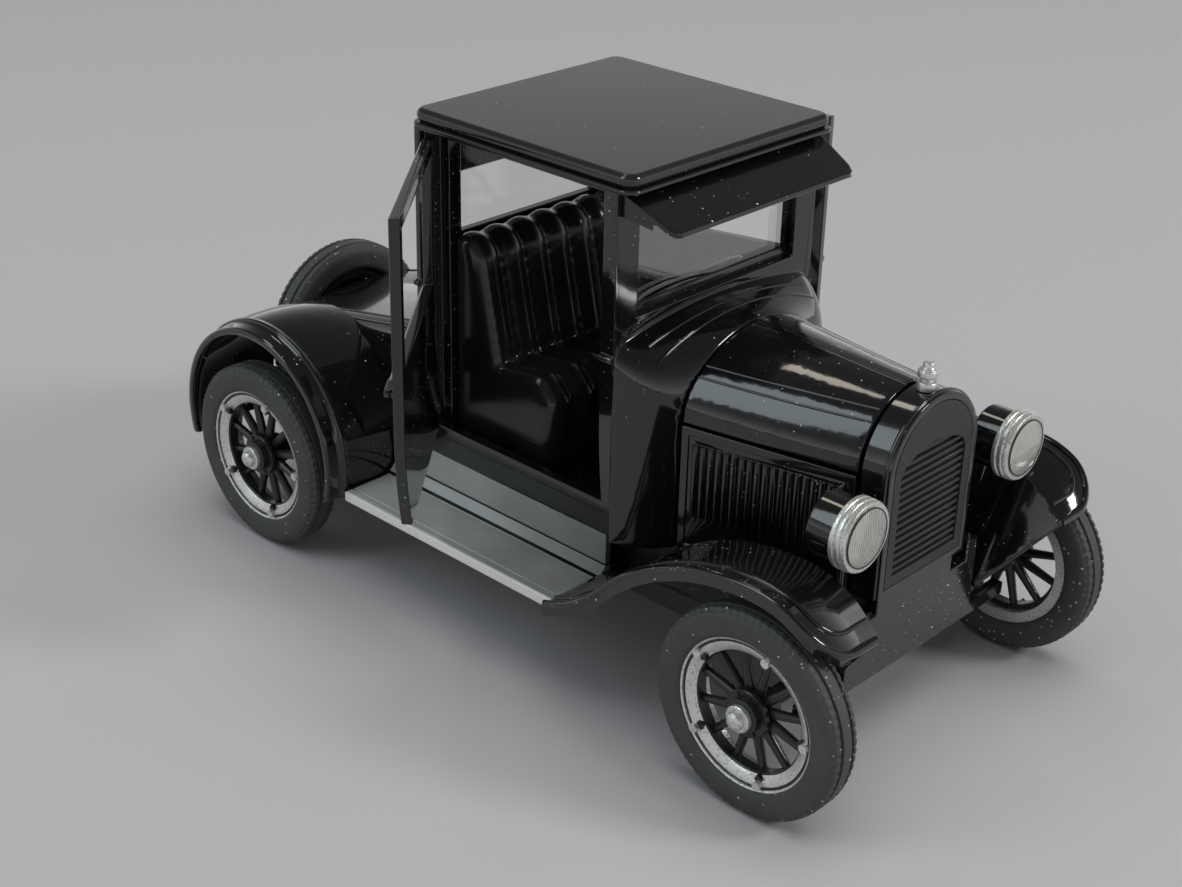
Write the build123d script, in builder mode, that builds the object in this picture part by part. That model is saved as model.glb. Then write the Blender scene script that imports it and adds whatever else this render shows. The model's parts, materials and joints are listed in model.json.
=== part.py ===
"""Die-cast toy coupe of the 1920s at 1:32, with opening doors and rolling wheels.

Millimetres. While it is modelled, X runs forward from the rear axle, Y to the car's left
and Z up from the floor. At the end everything moves so that the origin is the bottom
centre of the whole box.
"""
import os
from math import atan2, cos, pi, radians, sin

from build123d import *

# Running gear
WHEELBASE = 81.8
TRACK = 47.8
TYRE_R = 12.1
TYRE_W = 4.2
TYRE_BEAD_W = 3.2
TREAD_W = 2.3
SHOULDER_W = 3.5
SHOULDER_DROP = 0.5
TYRE_WALL = 3.1
RIM_R = TYRE_R - TYRE_WALL
RIM_W = 3.2
RIM_LIP = 0.75
RIM_STEP = 0.35
RIM_BAND = 2.0
FELLOE_BAND = 0.75
FELLOE_W = 2.2
HUB_R = 2.0
HUB_L = 4.4
FLANGE_R = 2.75
FLANGE_T = 0.6
SPOKE_COUNT = 12
SPOKE_ROOT_R = 0.62
SPOKE_TIP_R = 0.45
SPOKE_BITE = 0.3
CAP_COLLAR_R = 1.7
CAP_COLLAR_L = 0.45
CAP_R = 1.3
CAP_L = 1.5
CAP_DOME = 0.7
CAP_TAPER = 0.1
AXLE_R = 1.0
AXLE_GRIP = 2.0

# Fits
RUN_GAP = 0.08
PRESS_GAP = 0.02
SEAT_GAP = 0.05
DOOR_GAP = 0.4
PANEL_GAP = 0.3
CUT_OVER = 1.0

# Base casting
BASE_UNDER_AXLE = 2.8
BASE_BOTTOM = TYRE_R - BASE_UNDER_AXLE
BASE_T = 1.2
BASE_REAR = -9.0
BASE_LEAD = 1.2
BASE_FRONT = WHEELBASE + BASE_LEAD
SPARE_CLEAR = 0.3
FENDER_IN = TYRE_R + SPARE_CLEAR
RAIL_GAP = 0.4
RAIL_OUT = FENDER_IN - RAIL_GAP
RAIL_W = 3.0
BODY_BOTTOM = 18.0
SCREW_R = 1.25
SCREW_DEPTH = 6.0
SCREW_BOSS_R = 2.6
SCREW_X = (18.0, 66.0)

# Cab
WALL = 1.2
CAB_REAR = 22.3
CAB_L = 32.0
CAB_FRONT = CAB_REAR + CAB_L
CAB_HALF = 17.1
TURN_UNDER = 1.4
CAB_FOOT_HALF = CAB_HALF - TURN_UNDER
TURN_UNDER_Z = 34.0
CAB_TOP = 59.6
PILLAR_FRONT_T = 2.0
OPENING_FRONT = CAB_FRONT - PILLAR_FRONT_T
OPENING_BOTTOM = 22.4
OPENING_HEADER = 0.4
OPENING_TOP = CAB_TOP - OPENING_HEADER
JAMB_W = 1.9
BELT_Z = 40.5
BEAD_R = 0.45
SCREEN_PILLAR = 3.6
SCREEN_HALF = CAB_HALF - SCREEN_PILLAR
SCREEN_SILL = 0.9
SCREEN_HEADER = 2.2
SCREEN_TOP = CAB_TOP - SCREEN_HEADER
GLASS_T = 0.6
BACK_PILLAR = 5.1
BACK_LIGHT_HALF = CAB_HALF - BACK_PILLAR
BACK_LIGHT_H = 7.4
BACK_LIGHT_HEADER = 6.6
BACK_LIGHT_TOP = CAB_TOP - BACK_LIGHT_HEADER
BACK_LIGHT_BOTTOM = BACK_LIGHT_TOP - BACK_LIGHT_H

# Cowl, hood and radiator: each section is an arch across the car
COWL_L = 6.3
COWL_MID_L = 3.3
HOOD_REAR = CAB_FRONT + COWL_L
RAD_LEAD = 3.3
RAD_FRONT = WHEELBASE + RAD_LEAD
RAD_DEPTH = 3.6
HOOD_FRONT = RAD_FRONT - RAD_DEPTH - PANEL_GAP
RAD_HALF = 8.0
HOOD_REAR_HALF = 12.4
HOOD_OVER_RAD = 0.4
HOOD_FRONT_HALF = RAD_HALF + HOOD_OVER_RAD
HOOD_EDGE_Z = 34.3
HOOD_REAR_RISE = 8.2
HOOD_REAR_CROWN = HOOD_EDGE_Z + HOOD_REAR_RISE
HOOD_FRONT_RISE = 7.3
HOOD_FRONT_CROWN = HOOD_EDGE_Z + HOOD_FRONT_RISE
HOOD_SHOULDER = 5.2
HOOD_SKIRT = 0.5
HOOD_T = 0.9
HOOD_STRIP_HALF = 0.7
HOOD_STRIP_H = 0.2
COWL_LIFT = 9.5
COWL_CROWN = HOOD_EDGE_Z + COWL_LIFT
COWL_RISE = 4.4
COWL_SHOULDER = 3.0
COWL_MID_LIFT = 9.0
COWL_MID_CROWN = HOOD_EDGE_Z + COWL_MID_LIFT
COWL_MID_RISE = 6.4
COWL_MID_SHOULDER = 4.2
COWL_MID_SET = 1.5
COWL_INNER_RISE = 6.4
SCREEN_BOTTOM = COWL_CROWN + SCREEN_SILL
LOUVRE_BOTTOM = 22.8
PANEL_T = 1.0
PANEL_FRAME_W = 0.9
PANEL_FRAME_H = 0.2
LOUVRE_COUNT = 19
LOUVRE_R = 0.42
LOUVRE_MARGIN = 1.8
RAD_BOTTOM = 19.8
RAD_RISE = 7.2
RAD_CROWN = HOOD_EDGE_Z + RAD_RISE
RAD_SHOULDER = 4.6
RAD_LIP = 0.9
RAD_RIDGE_H = 0.25
RAD_RIDGE_W = 0.45
RAD_RIDGE_SET = 0.8
GRILLE_T = 1.3
GRILLE_BORDER = 1.2
GRILLE_HEADER = 4.4
GRILLE_RECESS = 0.7
ZONE_RISE = 3.0
ZONE_SHOULDER = 2.2
SLAT_COUNT = 16
SLAT_SHARE = 0.45
SLAT_T = 0.5
FILLER_SET = 1.95
FILLER_R = 1.1
FILLER_NECK_R = 0.6
FILLER_H = 3.1
APRON_BEAM_HALF = 19.0
APRON_BEAM_H = 1.6
APRON_D = 1.5
NOTCH_W = 3.0
NOTCH_H = 2.5
NOTCH_Y = 8.5

# Roof and visor
ROOF_LAP_REAR = 0.4
ROOF_LAP_FRONT = 1.8
ROOF_T = 1.6
ROOF_ROUND = 0.7
ROOF_CORNER = 1.6
DRIP_T = 0.5
DRIP_OUT = 0.25
VISOR_REACH = 6.6
VISOR_DROP = 28.0
VISOR_ROOT_IN = 0.7
VISOR_ROOT_HALF = CAB_HALF - VISOR_ROOT_IN
VISOR_TIP_IN = 1.7
VISOR_TIP_HALF = CAB_HALF - VISOR_TIP_IN
VISOR_T = 0.6
VISOR_SET = 0.2
VISOR_CORNER = 1.4
VISOR_WING = 2.0

# Rear deck
DECK_REAR = -9.6
DECK_IN = 1.7
DECK_HALF = CAB_HALF - DECK_IN
DECK_TAIL_HALF = 11.0
DECK_TOP = 34.6
DECK_TAIL_TOP = 26.6
DECK_SHOULDER = 2.4
DECK_RISE = 3.2

# Fenders and running boards
FENDER_OUT = 25.8
FENDER_CROWN_IN = 17.2
FENDER_T = 0.8
FENDER_FLANGE = 1.4
FENDER_CROWN = 0.7
FENDER_BEAD_R = 0.45
FENDER_RIDGE_R = 0.3
FENDER_RIDGE_IN = 2.4
ARCH_CLEAR = 3.1
REAR_ARCH_R = TYRE_R + ARCH_CLEAR
REAR_ARCH_X = 0.4
ARCH_LIFT = 2.9
REAR_ARCH_Z = TYRE_R + ARCH_LIFT
BOARD_LIFT = 0.1
BOARD_TOP = TYRE_R + BOARD_LIFT
FENDER_OVER_TYRE = 3.1
SWEEP_RUN = 34.1
SWEEP_START_X = WHEELBASE - SWEEP_RUN
SWEEP_TURN = 48.0
FENDER_TOP = 2 * TYRE_R + FENDER_OVER_TYRE
SWEEP_SUM_R = (FENDER_TOP - BOARD_TOP) / (1 - cos(radians(SWEEP_TURN)))
SWEEP_LOW_SHARE = 0.395
NOSE_R = 18.0
NOSE_TURN = 38.0
NOSE_CORNER = 5.0
VALANCE_LIFT = 0.6
VALANCE_Z = BOARD_TOP + VALANCE_LIFT
VALANCE_LOW_R = 260.0
VALANCE_HIGH_R = 380.0
VALANCE_TURN = 3.0
VALANCE_NOSE_R = 40.0
VALANCE_NOSE_TURN = 5.0
BOARD_RUN_ON = 4.9
BOARD_FRONT = SWEEP_START_X + BOARD_RUN_ON
BOARD_IN = 1.9
BOARD_OUT = FENDER_OUT - BOARD_IN
BOARD_T = 1.2
BOARD_GROOVE = 0.3
BOARD_GROOVE_IN = 1.2
BOARD_RAMP = 1.3
TRIM_T = 0.4
APRON_IN = 0.1
APRON_OUT = CAB_FOOT_HALF - APRON_IN
APRON_GAP = 0.3
APRON_TOP = BODY_BOTTOM - APRON_GAP
APRON_T = 0.9
BOARD_REAR = REAR_ARCH_X + REAR_ARCH_R + SEAT_GAP

# Doors
SILL_GAP = 1.2
DOOR_BOTTOM = OPENING_BOTTOM + SILL_GAP
DOOR_FRAME = 1.7
DOOR_T = 1.2
WINDOW_SILL = 1.0
HINGE_SET = 1.7
HINGE_X = CAB_REAR + HINGE_SET
HINGE_IN = 0.1
HINGE_Y = CAB_HALF - HINGE_IN
HINGE_R = 0.65
HINGE_PIN_R = 0.3
HINGE_CLEAR_R = HINGE_R + 2 * RUN_GAP
KNUCKLE_L = 1.8
EAR_L = 1.2
HINGE_LOW = 7.1
HINGE_HIGH = 6.6
HINGE_Z = (OPENING_BOTTOM + HINGE_LOW, CAB_TOP - HINGE_HIGH)
HINGE_BACK = 0.3
OPENING_REAR = HINGE_X - HINGE_BACK
RIGHT_DOOR_OPEN = 49.0
LEFT_DOOR_OPEN = 15.0
HANDLE_Z = 38.4
HANDLE_SET = 2.2
HANDLE_L = 3.6
HANDLE_H = 0.9
HANDLE_T = 0.6
HANDLE_STEM_R = 0.5

# Lamps
LAMP_Y = 14.67
LAMP_OVER_FENDER = 3.77
LAMP_Z = FENDER_TOP + LAMP_OVER_FENDER
LAMP_LEAD = 2.3
LAMP_FACE_X = RAD_FRONT + LAMP_LEAD
LAMP_BODY_R = 3.5
LAMP_BODY_L = 4.4
BEZEL_R = 4.0
BEZEL_L = 1.9
BEZEL_W = 0.75
BEZEL_GROOVE = 0.2
LENS_SET = 0.25
LENS_RISE = 0.5
LAMP_DOME = 1.2
POST_R = 0.7
POST_SET = 1.0
POST_X = BASE_FRONT - POST_SET
POST_IN = 0.9
POST_Y = RAIL_OUT - POST_IN

# Seat and controls
SEAT_SIDE = 3.5
SEAT_HALF = CAB_HALF - SEAT_SIDE
PLEAT_COUNT = 7
SEAT_SET = 2.7
SEAT_REAR = CAB_REAR + SEAT_SET
LEGROOM = 12.8
SEAT_KNEE = CAB_FRONT - LEGROOM
CUSHION_TOP = 32.0
CUSHION_DIP = 1.0
CUSHION_ROUND = 2.5
SEAT_TUCK = 1.5
SEAT_TOP = 46.0
SEAT_BACK_T = 4.0
SEAT_RAKE = 3.0
PLEAT_ROUND = 1.0
WHEEL_Y = 7.5
STEER_R = 6.2
STEER_RIM_R = 0.5
STEER_RIM_SIDES = 8
STEER_SPOKE_R = 0.4
STEER_SET = 9.8
STEER_X = CAB_FRONT - STEER_SET
STEER_Z = 40.0
COLUMN_TILT = 40.0
COLUMN_R = 0.6
STEER_HUB_R = 1.0

# Spare wheel
SPARE_GAP = 2.7
SPARE_X = DECK_REAR - SPARE_GAP
SPARE_Z = 19.3
CARRIER_T = 1.0
CARRIER_POST_R = 2.0

pieces = {}


def keep_pair(node, piece):
    """Keep a right-hand piece and its mirror image on the left."""
    pieces[node + "_right"] = piece
    with BuildPart() as other:
        mirror(piece, about=Plane.XZ)
    pieces[node + "_left"] = other.part


def arch(half, bottom, side_top, crown, shoulder):
    """Closed outline of upright sides, round shoulders and a flat arc over the top."""
    rise = crown - side_top
    span = half - shoulder
    top_r = (span**2 + rise**2 - shoulder**2) / (2 * (rise - shoulder))
    lean = atan2(span, top_r - rise)
    meet = (top_r * sin(lean), crown - top_r + top_r * cos(lean))
    mid = (lean + pi / 2) / 2
    bulge = (span + shoulder * sin(mid), side_top + shoulder * cos(mid))
    with BuildLine() as outline:
        Line((-half, bottom), (half, bottom))
        Line((half, bottom), (half, side_top))
        ThreePointArc((half, side_top), bulge, meet)
        ThreePointArc(meet, (0, crown), (-meet[0], meet[1]))
        ThreePointArc((-meet[0], meet[1]), (-bulge[0], bulge[1]), (-half, side_top))
        Line((-half, side_top), (-half, bottom))
    return outline.line


def dome(base, radius, rise):
    """Middle and tip of a round dome that stands on base, measured along the axis."""
    ball = (radius**2 + rise**2) / (2 * abs(rise))
    half_angle = atan2(radius, ball - abs(rise)) / 2
    way = rise / abs(rise)
    middle = (base + way * (abs(rise) - ball + ball * cos(half_angle)), ball * sin(half_angle))
    return middle, (base + rise, 0)


def cab_section(inset, bottom, top):
    """Closed outline across the cab: upright sides that turn under towards the sill."""
    side = CAB_HALF - inset
    foot = CAB_FOOT_HALF - inset
    with BuildLine() as outline:
        Line((-side, top), (side, top))
        Line((side, top), (side, TURN_UNDER_Z))
        TangentArc((side, TURN_UNDER_Z), (foot, bottom), tangent=(0, -1))
        Line((foot, bottom), (-foot, bottom))
        TangentArc((-side, TURN_UNDER_Z), (-foot, bottom), tangent=(0, -1))
        Line((-side, TURN_UNDER_Z), (-side, top))
    return outline.line


# Base casting: floor plate, two side rails and bosses for the display screws
with BuildPart() as base_plate:
    with BuildSketch(Plane.XY.offset(BASE_BOTTOM)):
        with Locations(((BASE_REAR + BASE_FRONT) / 2, 0)):
            Rectangle(BASE_FRONT - BASE_REAR, 2 * RAIL_OUT)
    extrude(amount=BASE_T)
    with BuildSketch(Plane.XY.offset(BASE_BOTTOM)):
        with Locations(((BASE_REAR + BASE_FRONT) / 2, 0)):
            with GridLocations(0, 2 * RAIL_OUT - RAIL_W, 1, 2):
                Rectangle(BASE_FRONT - BASE_REAR, RAIL_W)
    extrude(amount=BODY_BOTTOM - BASE_BOTTOM)
    with BuildSketch(Plane.XY.offset(BASE_BOTTOM)):
        with Locations(*[(x, 0) for x in SCREW_X]):
            Circle(SCREW_BOSS_R)
    extrude(amount=BODY_BOTTOM - BASE_BOTTOM - SEAT_GAP)
    with BuildSketch(Plane.XY.offset(BASE_BOTTOM)):
        with Locations(*[(x, 0) for x in SCREW_X]):
            Circle(SCREW_R)
    extrude(amount=SCREW_DEPTH, mode=Mode.SUBTRACT)
    with BuildSketch(Plane.XZ):
        with Locations((0, TYRE_R), (WHEELBASE, TYRE_R)):
            Circle(AXLE_R + RUN_GAP)
    extrude(amount=RAIL_OUT, both=True, mode=Mode.SUBTRACT)
pieces["base_plate"] = base_plate.part

# Cab shell: hollow, with door openings, windscreen and back light cut through
cowl_front = HOOD_REAR - PANEL_GAP
cowl_arch = (CAB_HALF, BODY_BOTTOM, COWL_CROWN - COWL_RISE, COWL_CROWN, COWL_SHOULDER)
cowl_mid_half = CAB_HALF - COWL_MID_SET
cowl_mid_side = COWL_MID_CROWN - COWL_MID_RISE
cowl_mid_arch = (cowl_mid_half, BODY_BOTTOM, cowl_mid_side, COWL_MID_CROWN, COWL_MID_SHOULDER)
hood_rear_arch = (HOOD_REAR_HALF, BODY_BOTTOM, HOOD_EDGE_Z, HOOD_REAR_CROWN, HOOD_SHOULDER)
inner_floor = BODY_BOTTOM + WALL
inner_crown = COWL_CROWN - WALL
inner_cowl_arch = (CAB_FOOT_HALF, inner_floor, inner_crown - COWL_INNER_RISE, inner_crown, COWL_SHOULDER)
inner_hood_arch = (HOOD_REAR_HALF - WALL, inner_floor, HOOD_EDGE_Z, HOOD_REAR_CROWN - WALL, HOOD_SHOULDER)
with BuildPart() as body_shell:
    with BuildSketch(Plane.YZ.offset(CAB_REAR)):
        make_face(cab_section(0, BODY_BOTTOM, CAB_TOP))
    extrude(amount=CAB_L)
    with BuildSketch(Plane.YZ.offset(CAB_FRONT)):
        make_face(arch(*cowl_arch))
    with BuildSketch(Plane.YZ.offset(CAB_FRONT + COWL_MID_L)):
        make_face(arch(*cowl_mid_arch))
    with BuildSketch(Plane.YZ.offset(cowl_front)):
        make_face(arch(*hood_rear_arch))
    loft()
    with BuildSketch(Plane.YZ.offset(CAB_REAR + WALL)):
        make_face(cab_section(WALL, inner_floor, CAB_TOP))
    extrude(amount=OPENING_FRONT - CAB_REAR - WALL, mode=Mode.SUBTRACT)
    with BuildSketch(Plane.YZ.offset(OPENING_FRONT)):
        make_face(arch(*inner_cowl_arch))
    with BuildSketch(Plane.YZ.offset(cowl_front - WALL)):
        make_face(arch(*inner_hood_arch))
    loft(mode=Mode.SUBTRACT)
    # Inner posts that thicken the rear jambs behind the shut doors
    jamb_front = SEAT_REAR - SEAT_GAP
    jamb_out = CAB_FOOT_HALF - DOOR_T - DOOR_GAP
    with BuildSketch(Plane.XY.offset(inner_floor)):
        with Locations(((CAB_REAR + jamb_front) / 2, 0)):
            with GridLocations(0, 2 * jamb_out - JAMB_W, 1, 2):
                Rectangle(jamb_front - CAB_REAR, JAMB_W)
    extrude(amount=CAB_TOP - inner_floor)
    for way in (1, -1):
        side_wall = Plane.XZ.offset(way * jamb_out)
        with BuildSketch(side_wall):
            with Locations(((OPENING_REAR + OPENING_FRONT) / 2, (OPENING_BOTTOM + OPENING_TOP) / 2)):
                Rectangle(OPENING_FRONT - OPENING_REAR, OPENING_TOP - OPENING_BOTTOM)
        extrude(amount=way * (CAB_HALF - jamb_out + CUT_OVER), mode=Mode.SUBTRACT)
    with BuildSketch(Plane.YZ.offset(OPENING_FRONT)):
        with Locations((0, (SCREEN_BOTTOM + SCREEN_TOP) / 2)):
            Rectangle(2 * SCREEN_HALF, SCREEN_TOP - SCREEN_BOTTOM)
    extrude(amount=PILLAR_FRONT_T, mode=Mode.SUBTRACT)
    with BuildSketch(Plane.YZ.offset(CAB_REAR)):
        with Locations((0, (BACK_LIGHT_BOTTOM + BACK_LIGHT_TOP) / 2)):
            Rectangle(2 * BACK_LIGHT_HALF, BACK_LIGHT_H)
    extrude(amount=WALL, mode=Mode.SUBTRACT)
    # Round grooves where the doors turn, then the hinge ears left and right
    with BuildSketch(Plane.XY.offset(OPENING_BOTTOM)):
        with Locations((HINGE_X, HINGE_Y), (HINGE_X, -HINGE_Y)):
            Circle(HINGE_CLEAR_R)
    extrude(amount=OPENING_TOP - OPENING_BOTTOM, mode=Mode.SUBTRACT)
    for z in HINGE_Z:
        for ear_z in (z - KNUCKLE_L / 2 - RUN_GAP - EAR_L, z + KNUCKLE_L / 2 + RUN_GAP):
            for side in (1, -1):
                with BuildSketch(Plane.XY.offset(ear_z)):
                    with Locations((HINGE_X, side * HINGE_Y)):
                        Circle(HINGE_R)
                    with Locations((HINGE_X - HINGE_R, side * (HINGE_Y - HINGE_R / 2))):
                        Rectangle(2 * HINGE_R, HINGE_R)
                    with Locations((HINGE_X, side * HINGE_Y)):
                        Circle(HINGE_PIN_R + RUN_GAP, mode=Mode.SUBTRACT)
                extrude(amount=EAR_L)
    # Belt bead carried on round the pillars
    for bead_x, bead_l in ((CAB_REAR, HINGE_X - HINGE_CLEAR_R - CAB_REAR), (OPENING_FRONT, PILLAR_FRONT_T)):
        with BuildSketch(Plane.YZ.offset(bead_x)):
            with Locations((CAB_HALF, BELT_Z), (-CAB_HALF, BELT_Z)):
                Circle(BEAD_R)
        extrude(amount=bead_l)
pieces["body_shell"] = body_shell.part

# Glass
with BuildPart() as windscreen:
    with BuildSketch(Plane.YZ.offset(OPENING_FRONT + SEAT_GAP)):
        with Locations((0, (SCREEN_BOTTOM + SCREEN_TOP) / 2)):
            Rectangle(2 * (SCREEN_HALF - SEAT_GAP), SCREEN_TOP - SCREEN_BOTTOM - 2 * SEAT_GAP)
    extrude(amount=GLASS_T)
pieces["windscreen"] = windscreen.part

with BuildPart() as back_light:
    with BuildSketch(Plane.YZ.offset(CAB_REAR + WALL - GLASS_T)):
        with Locations((0, (BACK_LIGHT_BOTTOM + BACK_LIGHT_TOP) / 2)):
            Rectangle(2 * (BACK_LIGHT_HALF - SEAT_GAP), BACK_LIGHT_H - 2 * SEAT_GAP)
    extrude(amount=GLASS_T)
pieces["back_light"] = back_light.part

# Roof: a drip moulding over the cab and a flat slab with a round edge on top of it
roof_l = CAB_L + ROOF_LAP_REAR + ROOF_LAP_FRONT
roof_x = CAB_REAR - ROOF_LAP_REAR + roof_l / 2
with BuildPart() as roof:
    with BuildSketch(Plane.XY.offset(CAB_TOP + DRIP_T)):
        with Locations((roof_x, 0)):
            RectangleRounded(roof_l, 2 * CAB_HALF, ROOF_CORNER)
    extrude(amount=ROOF_T)
    fillet(roof.faces().filter_by(Axis.Z).edges(), radius=ROOF_ROUND)
    with BuildSketch(Plane.XY.offset(CAB_TOP)):
        with Locations((roof_x, 0)):
            RectangleRounded(roof_l + 2 * DRIP_OUT, 2 * (CAB_HALF + DRIP_OUT), ROOF_CORNER)
    extrude(amount=DRIP_T)
pieces["roof"] = roof.part

# Sun visor: a sloping plate with an end wing on each side
visor_root = (CAB_FRONT, CAB_TOP - VISOR_T - VISOR_SET)
visor_tip = (CAB_FRONT + VISOR_REACH, visor_root[1] - VISOR_REACH * sin(radians(VISOR_DROP)))
with BuildPart() as visor:
    with BuildSketch(Plane.XZ):
        with BuildLine():
            Polyline(
                visor_root,
                visor_tip,
                (visor_tip[0], visor_tip[1] + VISOR_T),
                (visor_root[0], visor_root[1] + VISOR_T),
                close=True,
            )
        make_face()
    extrude(amount=VISOR_ROOT_HALF, both=True)
    with BuildSketch(Plane.XZ.offset(VISOR_ROOT_HALF - VISOR_T)):
        with BuildLine():
            Polyline(visor_root, visor_tip, (visor_root[0], visor_root[1] - VISOR_WING), close=True)
        make_face()
    extrude(amount=VISOR_T)
    mirror(about=Plane.XZ)
    # The tip is narrower than the root
    with BuildSketch(Plane.XY):
        with BuildLine():
            Polyline(
                (visor_root[0], VISOR_ROOT_HALF),
                (visor_tip[0], VISOR_TIP_HALF),
                (visor_tip[0], -VISOR_TIP_HALF),
                (visor_root[0], -VISOR_ROOT_HALF),
                close=True,
            )
        visor_plan = make_face()
        fillet(visor_plan.vertices().sort_by(Axis.X)[-2:], radius=VISOR_CORNER)
    extrude(amount=CAB_TOP, mode=Mode.INTERSECT)
pieces["visor"] = visor.part

# Hood: a thin arch that narrows towards the radiator, with a hinge strip along its crown
hood_edge = HOOD_EDGE_Z - HOOD_SKIRT
hollow_edge = hood_edge - CUT_OVER
rear_hollow = (HOOD_REAR_HALF - HOOD_T, hollow_edge, HOOD_EDGE_Z, HOOD_REAR_CROWN - HOOD_T, HOOD_SHOULDER)
front_hollow = (HOOD_FRONT_HALF - HOOD_T, hollow_edge, HOOD_EDGE_Z, HOOD_FRONT_CROWN - HOOD_T, HOOD_SHOULDER)
with BuildPart() as hood:
    with BuildSketch(Plane.YZ.offset(HOOD_REAR)):
        make_face(arch(HOOD_REAR_HALF, hood_edge, HOOD_EDGE_Z, HOOD_REAR_CROWN, HOOD_SHOULDER))
    with BuildSketch(Plane.YZ.offset(HOOD_FRONT)):
        make_face(arch(HOOD_FRONT_HALF, hood_edge, HOOD_EDGE_Z, HOOD_FRONT_CROWN, HOOD_SHOULDER))
    loft()
    with BuildSketch(Plane.YZ.offset(HOOD_REAR)):
        make_face(arch(*rear_hollow))
    with BuildSketch(Plane.YZ.offset(HOOD_FRONT)):
        make_face(arch(*front_hollow))
    loft(mode=Mode.SUBTRACT)
    with BuildSketch(Plane.XZ):
        with BuildLine():
            Polyline(
                (HOOD_REAR, HOOD_REAR_CROWN - HOOD_T / 2),
                (HOOD_FRONT, HOOD_FRONT_CROWN - HOOD_T / 2),
                (HOOD_FRONT, HOOD_FRONT_CROWN + HOOD_STRIP_H),
                (HOOD_REAR, HOOD_REAR_CROWN + HOOD_STRIP_H),
                close=True,
            )
        make_face()
    extrude(amount=HOOD_STRIP_HALF, both=True)
pieces["hood"] = hood.part

# Hood sides with their upright louvres, on planes that follow the hood's taper
taper = atan2(HOOD_REAR_HALF - HOOD_FRONT_HALF, HOOD_FRONT - HOOD_REAR)
panel_run = (HOOD_FRONT - HOOD_REAR) / cos(taper)
panel_top = hood_edge - PANEL_GAP
panel_bottom = BODY_BOTTOM + SEAT_GAP
side_plane = Plane(
    origin=(HOOD_REAR, -HOOD_REAR_HALF, 0),
    x_dir=(cos(taper), sin(taper), 0),
    z_dir=(sin(taper), -cos(taper), 0),
)
with BuildPart() as hood_side:
    with BuildSketch(side_plane):
        with Locations((panel_run / 2, (panel_bottom + panel_top) / 2)):
            Rectangle(panel_run, panel_top - panel_bottom)
    extrude(amount=-PANEL_T)
    with BuildSketch(side_plane):
        with Locations((panel_run / 2, (panel_bottom + panel_top) / 2)):
            Rectangle(panel_run, panel_top - panel_bottom)
            inner_h = panel_top - panel_bottom - 2 * PANEL_FRAME_W
            Rectangle(panel_run - 2 * PANEL_FRAME_W, inner_h, mode=Mode.SUBTRACT)
    extrude(amount=PANEL_FRAME_H)
    louvre_pitch = (panel_run - 2 * LOUVRE_MARGIN) / (LOUVRE_COUNT - 1)
    louvre_plane = Plane(
        origin=side_plane.from_local_coords((panel_run / 2, LOUVRE_BOTTOM, 0)),
        x_dir=side_plane.x_dir,
        z_dir=(0, 0, 1),
    )
    with BuildSketch(louvre_plane):
        with GridLocations(louvre_pitch, 0, LOUVRE_COUNT, 1):
            Circle(LOUVRE_R)
    extrude(amount=panel_top - LOUVRE_MARGIN - LOUVRE_BOTTOM)
keep_pair("hood_side", hood_side.part)

# Radiator shell, grille and filler cap
with BuildPart() as radiator_shell:
    with BuildSketch(Plane.YZ.offset(HOOD_FRONT + PANEL_GAP)):
        make_face(arch(RAD_HALF, RAD_BOTTOM, HOOD_EDGE_Z, RAD_CROWN, RAD_SHOULDER))
    extrude(amount=RAD_DEPTH)
    ridge_half = RAD_HALF + RAD_RIDGE_H
    with BuildSketch(Plane.YZ.offset(RAD_FRONT - RAD_RIDGE_SET)):
        make_face(arch(ridge_half, RAD_BOTTOM, HOOD_EDGE_Z, RAD_CROWN + RAD_RIDGE_H, RAD_SHOULDER))
    extrude(amount=RAD_RIDGE_W)
    core_half = RAD_HALF - RAD_LIP
    with BuildSketch(Plane.YZ.offset(RAD_FRONT - GRILLE_T - SEAT_GAP)):
        make_face(arch(core_half, RAD_BOTTOM + RAD_LIP, HOOD_EDGE_Z, RAD_CROWN - RAD_LIP, RAD_SHOULDER))
    extrude(amount=GRILLE_T + CUT_OVER, mode=Mode.SUBTRACT)
pieces["radiator_shell"] = radiator_shell.part

grille_half = RAD_HALF - RAD_LIP - SEAT_GAP
grille_bottom = RAD_BOTTOM + RAD_LIP + SEAT_GAP
grille_crown = RAD_CROWN - RAD_LIP - SEAT_GAP
zone_half = grille_half - GRILLE_BORDER
zone_bottom = grille_bottom + GRILLE_BORDER
zone_crown = grille_crown - GRILLE_HEADER
zone_arch = (zone_half, zone_bottom, zone_crown - ZONE_RISE, zone_crown, ZONE_SHOULDER)
slat_pitch = (zone_crown - zone_bottom) / SLAT_COUNT
recess_x = RAD_FRONT - GRILLE_RECESS
with BuildPart() as slats:
    with BuildSketch(Plane.YZ.offset(recess_x)):
        with Locations((0, (zone_bottom + zone_crown) / 2)):
            with GridLocations(0, slat_pitch, 1, SLAT_COUNT):
                Rectangle(2 * zone_half, SLAT_SHARE * slat_pitch)
    extrude(amount=SLAT_T)
    with BuildSketch(Plane.YZ.offset(recess_x)):
        make_face(arch(*zone_arch))
    extrude(amount=SLAT_T, mode=Mode.INTERSECT)
with BuildPart() as grille:
    with BuildSketch(Plane.YZ.offset(RAD_FRONT - GRILLE_T)):
        make_face(arch(grille_half, grille_bottom, HOOD_EDGE_Z, grille_crown, RAD_SHOULDER))
    extrude(amount=GRILLE_T)
    with BuildSketch(Plane.YZ.offset(recess_x)):
        make_face(arch(*zone_arch))
    extrude(amount=GRILLE_RECESS, mode=Mode.SUBTRACT)
    add(slats.part)
pieces["grille"] = grille.part

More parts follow.
